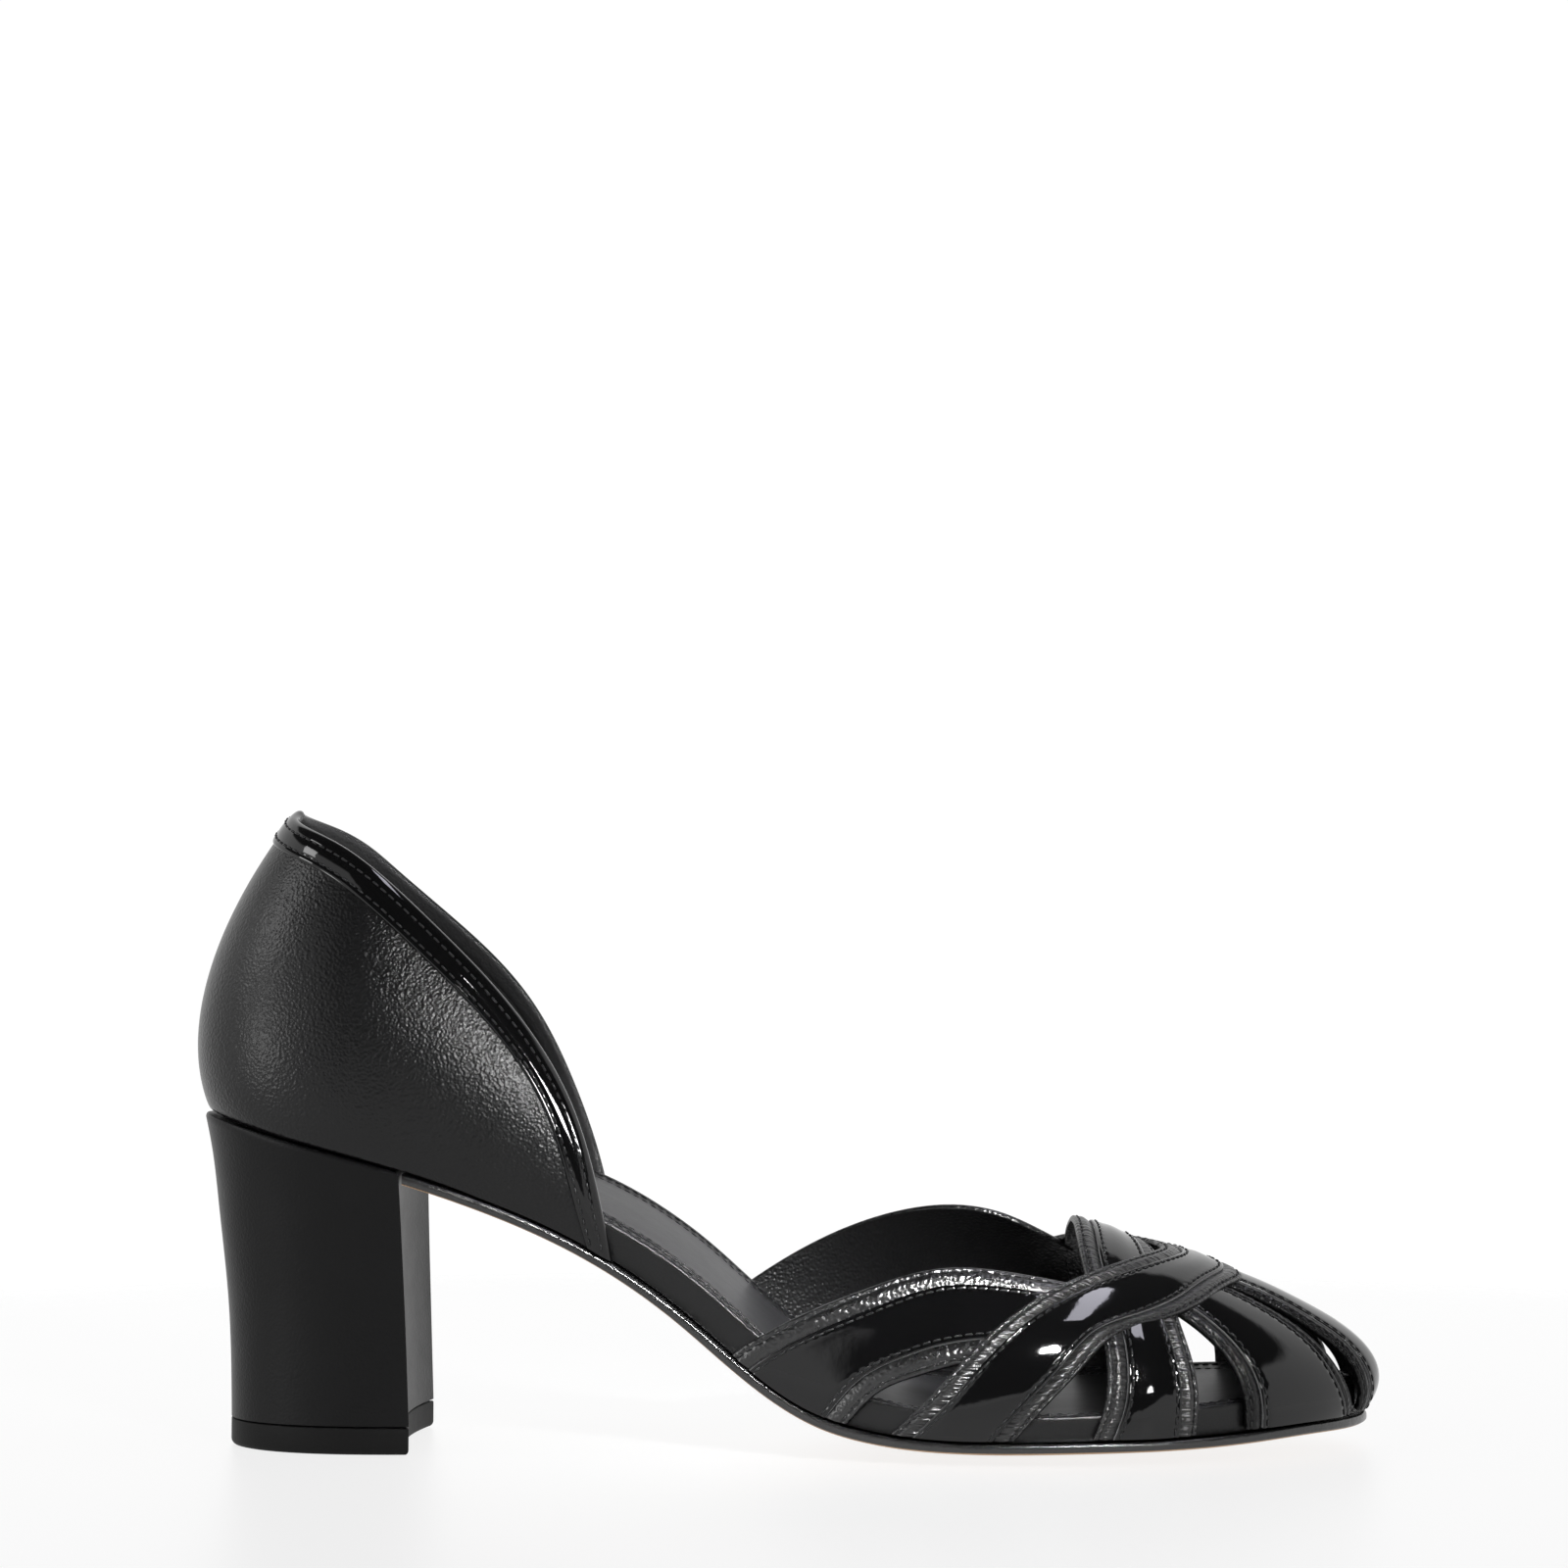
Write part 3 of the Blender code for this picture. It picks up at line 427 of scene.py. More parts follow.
class Stitches:
    """Short threads along lines, made into one mesh."""

    SIDES = 6
    # Rings of a thread: share of its length, share of its radius and height over the line in radii
    STATIONS = ((-0.5, 0.55, -0.9), (-0.36, 1.0, 0.1), (0.0, 1.0, 0.45), (0.36, 1.0, 0.1), (0.5, 0.55, -0.9))
    REACH = 0.4 * STITCH_LENGTH  # either way along the line, to read a thread's direction
    FIRST, LAST = 0.5, 0.4  # pitches left free at the ends of a line
    SHARP = 80.0

    def __init__(self):
        self.points = []
        self.count = 0

    def along(self, line, normals, sink=0.0):
        line = line - sink * normals
        s = line_length(line)
        places = np.arange(self.FIRST * STITCH_PITCH, s[-1] - self.LAST * STITCH_PITCH, STITCH_PITCH)
        centre, before, after, up = (
            np.column_stack([np.interp(places + shift, s, source[:, k]) for k in range(3)])
            for shift, source in ((0.0, line), (-self.REACH, line), (self.REACH, line), (0.0, normals)))
        tangent = unit(after - before)
        up = unit(up - np.sum(up * tangent, axis=1, keepdims=True) * tangent)
        side = np.cross(tangent, up)
        rings = []
        for share, fat, lift in self.STATIONS:
            spine = centre + share * STITCH_LENGTH * tangent + lift * THREAD_RADIUS * up
            for k in range(self.SIDES):
                turn = 2.0 * pi * k / self.SIDES
                rings.append(spine + fat * THREAD_RADIUS * (cos(turn) * side + sin(turn) * up))
        self.points.append(np.stack(rings, axis=1))
        self.count += len(places)

    def build(self, name, material, slot):
        rows, size = len(self.STATIONS), self.SIDES
        one = ring_faces(rows, size)
        faces = []
        for start in range(0, self.count * rows * size, rows * size):
            faces += [[start + v for v in face] for face in one]
        return new_piece(name, np.concatenate(self.points), faces, [material], slot=slot, sharp=self.SHARP)


# Straps of the vamp

def other_side(rows):
    return [row._replace(rear_girth=-row.rear_girth, front_girth=-row.front_girth) for row in rows]


def mirrored(half):
    return half + other_side(half[-2::-1])


def two_edged(table):
    """Run, girth and lift of a strap between two edges, at shares along and across it, and its length."""
    rows = np.array(table, float)
    middles = vamp_surface((rows[:, 0] + rows[:, 2]) / 2.0, (rows[:, 1] + rows[:, 3]) / 2.0)
    knots = line_length(middles)
    columns = spline(knots / knots[-1], rows)

    def across(a, share):
        rear_run, rear_girth, front_run, front_girth, lift = np.moveaxis(columns(a), -1, 0)
        run = rear_run + share * (front_run - rear_run)
        return run, rear_girth + share * (front_girth - rear_girth), lift + 0.0 * share

    return across, knots[-1]


def toe_line(middle):
    return np.minimum(middle, TOE_RUN), -np.clip((middle - TOE_RUN) / TOE_DROP, 0.0, 1.0)


def toe_centred(table):
    """The same for the strap over the toe's middle."""
    rows = np.array(table, float)
    knots = line_length(vamp_surface(*toe_line(rows[:, 2])))
    columns = spline(knots / knots[-1], rows)

    def across(a, share):
        edge_run, edge_girth, middle = np.moveaxis(columns(a), -1, 0)
        middle_run, middle_girth = toe_line(middle)
        inward = 1.0 - np.abs(2.0 * share - 1.0)
        run = edge_run + inward * (middle_run - edge_run)
        girth = edge_girth + inward * (middle_girth - edge_girth)
        return run, np.where(share <= 0.5, girth, -girth), TOE_LIFT + 0.0 * run

    return across, knots[-1]


# Section of a strap from an edge inwards: distance, height and share of the stitch groove
Section = namedtuple("Section", "inset height groove", defaults=(0.0,))
BINDING_EDGE = listed(Section, [
    (0.14, 0.15), (0.0, 0.5), (0.04, 0.9), (0.2, 1.18), (0.45, 1.33), (0.75, 1.37, 0.1), (0.97, 1.38, 0.7),
    (1.15, 1.38, 1.0), (1.33, 1.42, 0.7), (1.6, 1.54, 0.1), (1.9, 1.65), (2.25, 1.71), (2.6, 1.69),
    (3.0, 1.62), (3.4, 1.52), (3.8, 1.4), (4.2, 1.26), (4.9, 1.12),
])
PATENT_EDGE = listed(Section, [
    (0.02, 1.15), (-0.03, 1.48), (0.03, 1.7), (0.17, 1.85), (0.38, 1.91), (0.6, 1.93, 0.15),
    (0.82, 1.94, 0.7), (1.0, 1.94, 1.0), (1.18, 1.94, 0.7), (1.45, 1.95, 0.15), (1.9, 1.98), (2.6, 2.01),
])
STITCH_ROW = 7  # row of both half sections in which the stitches lie
GROOVE_DEPTH = 0.22
PUCKER = 0.4  # share of a groove's depth that swells between the needle's holes
BINDING_SPAN = 4.3  # width of a binding as its half section is drawn
PATENT_LEAST = 5.0  # width between the bindings under which they narrow
PATENT_SPAN = 6.4  # width of the patent under which its half sections narrow
PATENT_CROWN = 0.12
PATENT_COLUMNS = 7
LINING_COLUMNS = 12
LINING_INSET = 0.3
WIDTH_SAMPLES = 25
STRIP_SCALE = 0.01  # of a strap's along and across coordinates in millimetres


def pucker(line):
    """Depth of a stitch groove along a line of places: deepest at the needle's holes."""
    swell = np.cos(2.0 * pi * line_length(line) / STITCH_PITCH)
    return GROOVE_DEPTH * (1.0 - PUCKER + PUCKER * swell)


class StrapShape:
    """Places on a strap by the distance from its rear edge."""

    def __init__(self, across, length):
        self.across = across
        self.a = np.linspace(0.0, 1.0, int(length / STRAP_STEP) + 1)
        self.shares = np.linspace(0.0, 1.0, WIDTH_SAMPLES)
        run, girth, lift = across(self.a[:, None], self.shares[None, :])
        points = vamp_point(run, girth, lift + STRAP_WALL)[0]
        steps = np.linalg.norm(np.diff(points, axis=1), axis=2)
        self.distance = np.concatenate((np.zeros((len(self.a), 1)), np.cumsum(steps, axis=1)), axis=1)
        self.width = self.distance[:, -1]
        self.middle = line_length(points[:, WIDTH_SAMPLES // 2])

    def places(self, distance, height):
        """Points and normals for one row of distances and heights at each place along the strap."""
        share = np.stack([np.interp(d, c, self.shares) for d, c in zip(distance, self.distance)])
        run, girth, lift = self.across(self.a[:, None], share)
        return vamp_point(run, girth, lift + height)

    def stitched_edges(self, sections, inset, fit, stitches):
        """Distances and heights of a half section from the rear edge inwards, and of the same one from the
        middle out to the front edge, each with its row of stitches."""
        insets, heights, grooves = np.array(sections).T
        near = insets * fit[:, None] + inset[:, None]
        made = []
        for distance in (near, self.width[:, None] - near):
            line, normals = self.places(distance[:, STITCH_ROW:STITCH_ROW + 1], heights[STITCH_ROW])
            made.append((distance, heights - pucker(line[:, 0])[:, None] * grooves))
            stitches.along(line[:, 0], normals[:, 0], THREAD_SINK)
        (rear, rear_height), (front, front_height) = made
        return rear, rear_height, front[:, ::-1], front_height[:, ::-1]

    def piece(self, name, distance, height, materials, kinds):
        points, _ = self.places(distance, height)
        uv = joined(self.middle[:, None], distance) * STRIP_SCALE
        return lofted(name, points, materials, kinds, uv=uv, slot="strap_patent_black")


def dress_strap(name, shape, binding, stitches, leather, crown_height=PATENT_CROWN):
    """A strap's binding with its lining, and the patent strip that lies on it."""
    strap = StrapShape(*shape)
    edge = binding * np.minimum(1.0, strap.width / (2.0 * binding + PATENT_LEAST))
    rear, rear_height, front, front_height = strap.stitched_edges(
        BINDING_EDGE, np.zeros(len(edge)), edge / BINDING_SPAN, stitches)
    inside = strap.width[:, None] - 2.0 * LINING_INSET
    under = np.linspace(1.0, 0.0, LINING_COLUMNS)[None, :] * inside + LINING_INSET
    distance = np.concatenate((rear, front, under), axis=1)
    height = np.concatenate((rear_height, front_height, np.zeros(under.shape)), axis=1)
    kinds = [0] * (2 * len(BINDING_EDGE) - 1) + [1] * (LINING_COLUMNS + 1)
    base = strap.piece(name + "_binding", distance, height, [leather, lining_leather], kinds)
    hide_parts("vamp")

    fit = np.minimum(1.0, (strap.width - 2.0 * edge) / PATENT_SPAN)
    rear, rear_height, front, front_height = strap.stitched_edges(PATENT_EDGE, edge, fit, stitches)
    spread = np.linspace(0.0, 1.0, PATENT_COLUMNS + 2)[1:-1]
    middle = rear[:, -1:] + spread[None, :] * (front[:, :1] - rear[:, -1:])
    crown = np.broadcast_to(PATENT_EDGE[-1].height + crown_height * arch(spread), middle.shape)
    distance = np.concatenate((rear, middle, front), axis=1)
    height = np.concatenate((rear_height, crown, front_height), axis=1)
    # The patent's edge faces take the lighter cut edge colour, which is partly a painted highlight.
    kinds = [1] * 2 + [0] * (distance.shape[1] - 5) + [1] * 2 + [0]
    strap.piece(name + "_patent", distance, height, [patent, cut_edge_and_highlight], kinds)


# Quarter and collar

def quarter_patch(side):
    """Run and climb on the quarter from a, the share of the way forward, and b, the share of the way up."""
    rows = np.array(LATERAL_COLLAR if side < 0 else MEDIAL_COLLAR, float)
    knots = line_length(quarter_surface(-side * rows[:, 0], rows[:, 1]))
    collar = spline(knots / knots[-1], rows)

    def at(a, b):
        top = collar(a)
        run = (1.0 - b) * a * QUARTER_CORNER + b * top[..., 0]
        climb = b * top[..., 1]
        return -side * run, climb

    return at


QUARTER_COLUMNS = 130
PATCHES = {-1: quarter_patch(-1.0), 1: quarter_patch(1.0)}


def quarter_length(at, a):
    return np.linalg.norm(quarter_surface(*at(a, 1.0 + 0.0 * a)) - quarter_surface(*at(a, 0.0 * a)), axis=-1)


def eased(share):
    share = np.clip(share, 0.0, 1.0)
    return share * share * (3.0 - 2.0 * share)


def tuck(a, below, climb):
    """Inward lean of the quarter at a distance below its collar."""
    full = TUCK_DEPTH * eased(a / TUCK_FORWARD) * eased(climb / TUCK_CLIMB)
    return full * np.maximum(0.0, 1.0 - below / TUCK_REACH) ** 2


def round_quarter(offset_at, heights):
    """Points and normals from the medial front round the heel to the lateral front; offset_at gives the
    distances below the collar for the lengths of the columns."""
    parts = []
    for side in (1, -1):
        at = PATCHES[side]
        a = np.linspace(0.0, 1.0, QUARTER_COLUMNS + 1)
        length = quarter_length(at, a)
        below = offset_at(length)
        run, climb = at(a[:, None], 1.0 - below / length[:, None])
        points, normals = quarter_point(run, climb, heights - tuck(a[:, None], below, climb))
        if side > 0:
            points, normals = points[:0:-1], normals[:0:-1]
        parts.append((points, normals))
    return tuple(np.concatenate(pair) for pair in zip(*parts))


QUARTER_TOP = 1.2  # distance of the leather's upper edge below the collar's line
QUARTER_LEVELS = 60
QUARTER_HEM = [(0.0, 0.7), (0.006, 0.35), (0.016, 0.12), (0.03, 0.03)]  # share of the way up, rounding
HEM_END = 0.05  # share of the way up


def build_quarter():
    hem, rounding = np.array(QUARTER_HEM).T
    rise = np.concatenate((hem, np.linspace(HEM_END, 1.0, QUARTER_LEVELS)))
    outer = QUARTER_WALL - np.concatenate((rounding, np.zeros(QUARTER_LEVELS)))
    inner = rise[::-2]
    shares = np.concatenate((rise, inner))
    points, _ = round_quarter(
        lambda length: QUARTER_TOP + (1.0 - shares[None, :]) * (length[:, None] - QUARTER_TOP),
        np.concatenate((outer, np.zeros(len(inner)))))
    kinds = [0] * (len(rise) - 1) + [1] * (len(inner) + 1)
    # The inner faces take the lighter lining: painted light that lifts the shade inside the quarter.
    item = lofted("quarter_leather", points, [smooth_leather, shade_lifted_lining], kinds,
                  slot="smooth_leather_black")
    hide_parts("quarter")


# Section of the collar's band from its lower edge upwards: distance below the collar's line, height, groove
Band = namedtuple("Band", "drop height groove", defaults=(0.0,))
COLLAR_BAND = listed(Band, [
    (5.2, 1.5), (5.25, 1.8), (5.2, 2.05), (5.05, 2.2), (4.8, 2.25), (4.6, 2.26, 0.15), (4.4, 2.26, 0.7),
    (4.2, 2.26, 1.0), (4.0, 2.26, 0.7), (3.75, 2.28, 0.15), (3.2, 2.33), (2.6, 2.33), (2.1, 2.3, 0.1),
    (1.85, 2.28, 0.6), (1.65, 2.27, 1.0), (1.45, 2.24, 0.6), (1.2, 2.16, 0.1),
])
COLLAR_SEAMS = (7, 14)  # rows of the band in which the stitches lie
SEAM_REACH = 3  # rows on each side of a seam that its groove takes in
ROLL_CENTRE = (1.0, 0.9)
ROLL_RADIUS = 1.2
ROLL_STEP = 15  # degrees
ROLL_PATENT = 7  # columns of the roll before the lining begins
COLLAR_LINING = listed(Band, [(2.0, -0.3), (3.0, -0.28), (3.2, -0.1), (3.2, 0.6)])


def build_collar(stitches):
    roll = []
    for degrees in range(ROLL_STEP, 181, ROLL_STEP):
        turn = radians(degrees)
        drop, height = ROLL_CENTRE[0] - ROLL_RADIUS * sin(turn), ROLL_CENTRE[1] + ROLL_RADIUS * cos(turn)
        roll.append(Band(drop, height))
    drops, heights, grooves = np.array(COLLAR_BAND + roll + COLLAR_LINING).T

    def places(rows):
        return round_quarter(lambda length: drops[None, rows] + 0.0 * length[:, None], heights[rows])

    points, normals = places(slice(None))
    depth = np.zeros(points.shape[:2])
    for seam in COLLAR_SEAMS:
        line, line_normals = places(slice(seam, seam + 1))
        around = np.abs(np.arange(len(drops)) - seam) <= SEAM_REACH
        depth[:, around] += pucker(line[:, 0])[:, None] * grooves[None, around]
        stitches.along(line[:, 0], line_normals[:, 0], THREAD_SINK)
    points = points - depth[..., None] * normals
    outside = len(COLLAR_BAND) + ROLL_PATENT
    kinds = [0] * outside + [1] * (len(drops) - outside)
    # The roll's inner faces take the same lighter lining: painted light that lifts the shade inside the
    # collar.
    item = lofted("collar_patent", points, [patent, shade_lifted_lining], kinds, slot="collar_patent_black")
    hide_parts("collar_band")


# Heel, lift, insole and sole

HEEL_COLUMNS = 70
BREAST_COLUMNS = 28
HEEL_LEVELS = np.concatenate(([0.0, 0.004, 0.012], np.linspace(0.025, 1.0, 56)))  # shares of its height
HEEL_ROUNDING = 0.5  # inset of the cover's upper edge
ROUNDED_SHARE = 0.014  # share of the heel's height over which it is rounded
HEEL_SHARP = 50.0  # degrees

# Inset and height of the lift's rings
LIFT_RINGS = [
    (0.25, 5.2), (0.08, 5.1), (0.0, 4.9), (0.0, 3.0), (0.0, 1.0), (0.08, 0.62), (0.27, 0.3), (0.55, 0.08),
    (0.9, 0.0),
]

# Edges from below inwards: inset from the outline, the face that the height counts from, and the height
WRAP_EDGE = [
    (0.6, "low", 0.0), (0.12, "low", 0.12), (0.0, "low", 0.5), (0.0, "top", -1.6), (0.0, "top", -0.8),
    (0.08, "top", -0.42), (0.24, "top", -0.18), (0.5, "top", -0.04), (0.9, "top", 0.0), (1.2, "top", -0.06),
    (1.4, "top", -0.12), (1.6, "top", -0.06), (2.0, "top", 0.0), (3.6, "top", 0.0),
]
SOCK_EDGE = [(WRAP_BORDER + past, "top", height) for past, height in (
    (0.1, -0.2), (0.0, 0.1), (0.06, 0.26), (0.25, 0.36), (0.55, 0.38), (0.8, 0.32), (1.0, 0.26), (1.2, 0.32),
    (1.5, 0.39), (2.4, 0.4))]
SOLE_PROFILE = [
    (1.2, "low", 0.0), (0.62, "low", 0.04), (0.24, "low", 0.24), (0.06, "low", 0.44), (0.0, "low", 0.75),
    (0.0, "top", -0.85), (0.05, "top", -0.52), (0.22, "top", -0.22), (0.5, "top", -0.05), (0.9, "top", 0.0),
    (3.2, "top", 0.0),
]
INSOLE_SEAMS = ((1.4, -0.05), (WRAP_BORDER + 1.0, 0.3))  # inset from the outline and height over the board
SEAM_ENDS = 2.0  # run left free at the heel's back and at the toe
SEAM_SAMPLES = 900
SOCK_CROWN = 0.35
INSOLE_STEPS = 220
SOLE_STEPS = 200

# Distance of a slab's inner columns from its edge, and their count
WRAP_INNER = (1.5, 14)
SOCK_INNER = (1.5, 18)
SOLE_INNER = (1.0, 14)


def heel_outline():
    """Shares along and across the heel, round its sides and over its breast, and the count of the sides."""
    reach = run_at(HEEL[0].breast)
    run = np.linspace(-reach, reach, 2 * HEEL_COLUMNS + 1)
    sides = edge_point(np.abs(run), np.where(run < 0.0, -1.0, 1.0))[0]
    back, front = sides[:, 0].min(), sides[:, 0].max()
    along = (sides[:, 0] - back) / (front - back)
    across = sides[:, 1] / sides[:, 1].max()
    breast = across[-1] * (1.0 - 2.0 * np.arange(1, BREAST_COLUMNS) / BREAST_COLUMNS)
    return np.concatenate((along, np.ones(len(breast)))), np.concatenate((across, breast)), len(along)


HEEL_ALONG, HEEL_ACROSS, HEEL_SIDES = heel_outline()


def heel_plan(level, inset):
    back, half_width, breast, hollow = level
    x = back + inset + HEEL_ALONG * (breast - back - 2.0 * inset)
    y = HEEL_ACROSS * (half_width - inset)
    x[HEEL_SIDES:] -= hollow * (1.0 - HEEL_ACROSS[HEEL_SIDES:] ** 2)
    return x, y


def build_heel():
    levels = table_spline(HEEL)
    rings = []
    for share in HEEL_LEVELS:
        x, y = heel_plan(levels(share), HEEL_ROUNDING * max(0.0, 1.0 - share / ROUNDED_SHARE) ** 2)
        top = sole_top(x, y)
        rings.append(joined(x, y, top + share * (LIFT_THICKNESS + GAP - top)))
    item = lofted("heel_cover", np.array(rings), [heel_leather], slot="heel_cover_black", sharp=HEEL_SHARP)
    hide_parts("heel")


def build_lift():
    rings = [joined(*heel_plan(HEEL[-1][1:], inset), z) for inset, z in LIFT_RINGS]
    item = lofted("heel_lift", np.array(rings), [lift_rubber], slot="rubber_black", sharp=HEEL_SHARP)
    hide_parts("top_lift")


def rise_at(most, side, inset):
    """Rise of a border towards its outline, on the medial side alone."""
    return most * max(0.0, 1.0 - inset / WRAP_BORDER) if side > 0.0 else 0.0


def slab_rings(runs, edge, inner, outset, lower, upper, crown=0.0, medial_rise=0.0):
    """Rings of a slab: its lateral edge, its upper face, its medial edge and its lower face."""
    def side_columns(side):
        made = []
        for inset, base, height in edge:
            x, y = np.moveaxis(edge_point(runs, side, outset - inset)[0], -1, 0)
            face, rise = (lower, 0.0) if base == "low" else (upper, rise_at(medial_rise, side, inset))
            made.append(joined(x, y, face(x, y) + height + rise))
        return made

    gap, columns = inner
    inset = max(place[0] for place in edge) + gap
    start, end = (edge_point(runs, side, outset - inset)[0] for side in (-1.0, 1.0))
    top, bottom = [], []
    for share in np.linspace(0.0, 1.0, columns):
        x, y = np.moveaxis(start + share * (end - start), -1, 0)
        top.append(joined(x, y, upper(x, y) + edge[-1][2] + crown * arch(share)))
        bottom.append(joined(x, y, lower(x, y)))
    return np.stack(side_columns(-1.0) + top + side_columns(1.0)[::-1] + bottom[::-1], axis=1)


def closing_steps(start, stop, count):
    """Runs that draw close together towards both ends."""
    return start + (stop - start) * (1.0 - np.cos(pi * np.arange(count + 1) / count)) / 2.0


def build_insole(stitches):
    runs = closing_steps(0.0, TOE_RUN, INSOLE_STEPS)
    rings = slab_rings(runs, WRAP_EDGE, WRAP_INNER, 0.0, board_bottom, board_top, medial_rise=BORDER_RISE)
    item = lofted("insole_wrap", rings, [wrap_leather], slot="sock_grey")
    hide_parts("insole")
    rings = slab_rings(runs, SOCK_EDGE, SOCK_INNER, 0.0, board_top, board_top, crown=SOCK_CROWN)
    lofted("insole_sock", rings, [sock_leather], slot="sock_grey")
    seam_runs = np.linspace(SEAM_ENDS, TOE_RUN - SEAM_ENDS, SEAM_SAMPLES)
    for inset, height in INSOLE_SEAMS:
        for side in (-1.0, 1.0):
            x, y = np.moveaxis(edge_point(seam_runs, side, -inset)[0], -1, 0)
            line = joined(x, y, board_top(x, y) + height + rise_at(BORDER_RISE, side, inset))
            stitches.along(line, np.broadcast_to((0.0, 0.0, 1.0), line.shape))


def build_outsole():
    runs = closing_steps(run_at(BREAST + 2.0 * GAP), TOE_RUN, SOLE_STEPS)
    rings = slab_rings(runs, SOLE_PROFILE, SOLE_INNER, SOLE_EDGE, sole_bottom, sole_top)
    across = SOLE_INNER[1]
    kinds = [1] * 2 + [0] * (rings.shape[1] - across - 5) + [1] * (across + 3)
    item = lofted("sole", rings, [sole_edge, sole_leather], kinds, slot="sole_black")
    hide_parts("outsole")


# Materials

BLACK = ((0.002, 0.002, 0.0021), (0.0045, 0.0045, 0.0048))  # black leather, dark and light
WEAR_SHARE = 0.37  # size of the uneven roughness against the mottled colour
WRINKLE_ACROSS = 18.0  # noise scale of the wrinkles across a strip


def add_node(tree, kind, inputs=None, **settings):
    made = tree.nodes.new(kind)
    for key, value in settings.items():
        setattr(made, key, value)
    for key, value in (inputs or {}).items():
        socket = made.inputs[key]
        if isinstance(value, bpy.types.NodeSocket):
            tree.links.new(value, socket)
        else:
            socket.default_value = value
    return made


def math_node(tree, operation, *values):
    return add_node(tree, "ShaderNodeMath", dict(enumerate(values)), operation=operation).outputs[0]


def scaled(tree, vector, factors):
    return add_node(tree, "ShaderNodeVectorMath", {0: vector, 1: factors}, operation="MULTIPLY").outputs[0]


def millimetres(tree):
    """Object coordinates in millimetres."""
    return scaled(tree, add_node(tree, "ShaderNodeTexCoord").outputs["Object"], (1.0 / MM,) * 3)


def noise(tree, place, size, detail=2.0, rough=0.5):
    """Noise between 0 and 1 with features of about the given size in millimetres."""
    return add_node(tree, "ShaderNodeTexNoise", {"Vector": place, "Scale": 1.0 / size, "Detail": detail,
                                                 "Roughness": rough}).outputs["Fac"]


def cells(tree, place, size):
    return add_node(tree, "ShaderNodeTexVoronoi", {"Vector": place, "Scale": 1.0 / size},
                    feature="SMOOTH_F1").outputs["Distance"]


def between(tree, value, low, high):
    return add_node(tree, "ShaderNodeMapRange",
                    {"Value": value, "To Min": low, "To Max": high}).outputs["Result"]


def soft_step(tree, value, start, end, low=1.0, high=0.0):
    """A value that goes softly from low to high."""
    return add_node(tree, "ShaderNodeMapRange", {"Value": value, "From Min": start, "From Max": end,
                                                 "To Min": low, "To Max": high},
                    interpolation_type="SMOOTHSTEP").outputs["Result"]


def tint(tree, value, dark, light):
    return add_node(tree, "ShaderNodeMix", {"Factor": value, 6: (*dark, 1.0), 7: (*light, 1.0)},
                    data_type="RGBA").outputs[2]


def bumped(tree, layers):
    """Normal from height layers, each a depth in millimetres and a value between 0 and 1."""
    normal = None
    for depth, value in layers:
        inputs = {"Height": value, "Distance": depth * MM, "Strength": 1.0}
        if normal is not None:
            inputs["Normal"] = normal
        normal = add_node(tree, "ShaderNodeBump", inputs).outputs["Normal"]
    return normal


def new_material(name):
    material = bpy.data.materials.new(name)
    material.use_nodes = True
    return material, material.node_tree, material.node_tree.nodes["Principled BSDF"]


def surface_material(name, dark, light, rough, layers, specular=0.5, ior=1.45, mottle=14.0):
    """Principled surface with mottled colour, uneven roughness and layers of relief."""
    material, tree, shader = new_material(name)
    place = millimetres(tree)
    patches = noise(tree, place, mottle, 4.0, 0.6)
    wear = noise(tree, place, mottle * WEAR_SHARE, 5.0, 0.65)
    tree.links.new(tint(tree, patches, dark, light), shader.inputs["Base Color"])
    tree.links.new(between(tree, wear, *rough), shader.inputs["Roughness"])
    relief = [(depth, build(tree, place)) for depth, build in layers]
    tree.links.new(bumped(tree, relief), shader.inputs["Normal"])
    shader.inputs["IOR"].default_value = ior
    shader.inputs["Specular IOR Level"].default_value = specular
    return material


def grain(size):
    return lambda tree, place: cells(tree, place, size)


def waves(size, detail=2.0):
    return lambda tree, place: noise(tree, place, size, detail)


def wrinkles(spacing):
    """Fine creases across a strip, from its own along and across coordinates."""
    def build(tree, place):
        strip = add_node(tree, "ShaderNodeUVMap", uv_map="strip").outputs["UV"]
        return noise(tree, scaled(tree, strip, (1.0 / STRIP_SCALE / spacing, WRINKLE_ACROSS, 1.0)), 1.0)
    return build


patent = surface_material(
    "patent_leather", (0.001, 0.001, 0.0011), (0.002, 0.002, 0.0022), (0.035, 0.07),
    [(0.06, waves(15.0)), (0.02, waves(3.2, 3.0))], ior=1.46)
binding_leather, toe_leather = (
    surface_material(name, *BLACK, (0.24, 0.32), [(0.2, grain(0.8)), (0.05, wrinkles(1.1))], gloss)
    for name, gloss in (("binding_leather", 0.8), ("toe_leather", 0.35)))
creased_leather = surface_material(
    "creased_leather", *BLACK, (0.26, 0.34), [(0.08, grain(0.7)), (0.7, wrinkles(0.9))], specular=0.75)
smooth_leather = surface_material(
    "smooth_leather", *BLACK, (0.25, 0.33),
    [(0.11, grain(0.55)), (0.03, waves(0.3)), (0.05, waves(6.0, 3.0))], specular=0.36)
heel_leather = surface_material(
    "heel_leather", *BLACK, (0.34, 0.44), [(0.05, grain(0.5)), (0.04, waves(9.0, 3.0))], specular=0.18)
lining_leather = surface_material(
    "lining_leather", (0.004, 0.004, 0.0042), (0.008, 0.008, 0.0084), (0.27, 0.37), [(0.16, grain(0.6))])
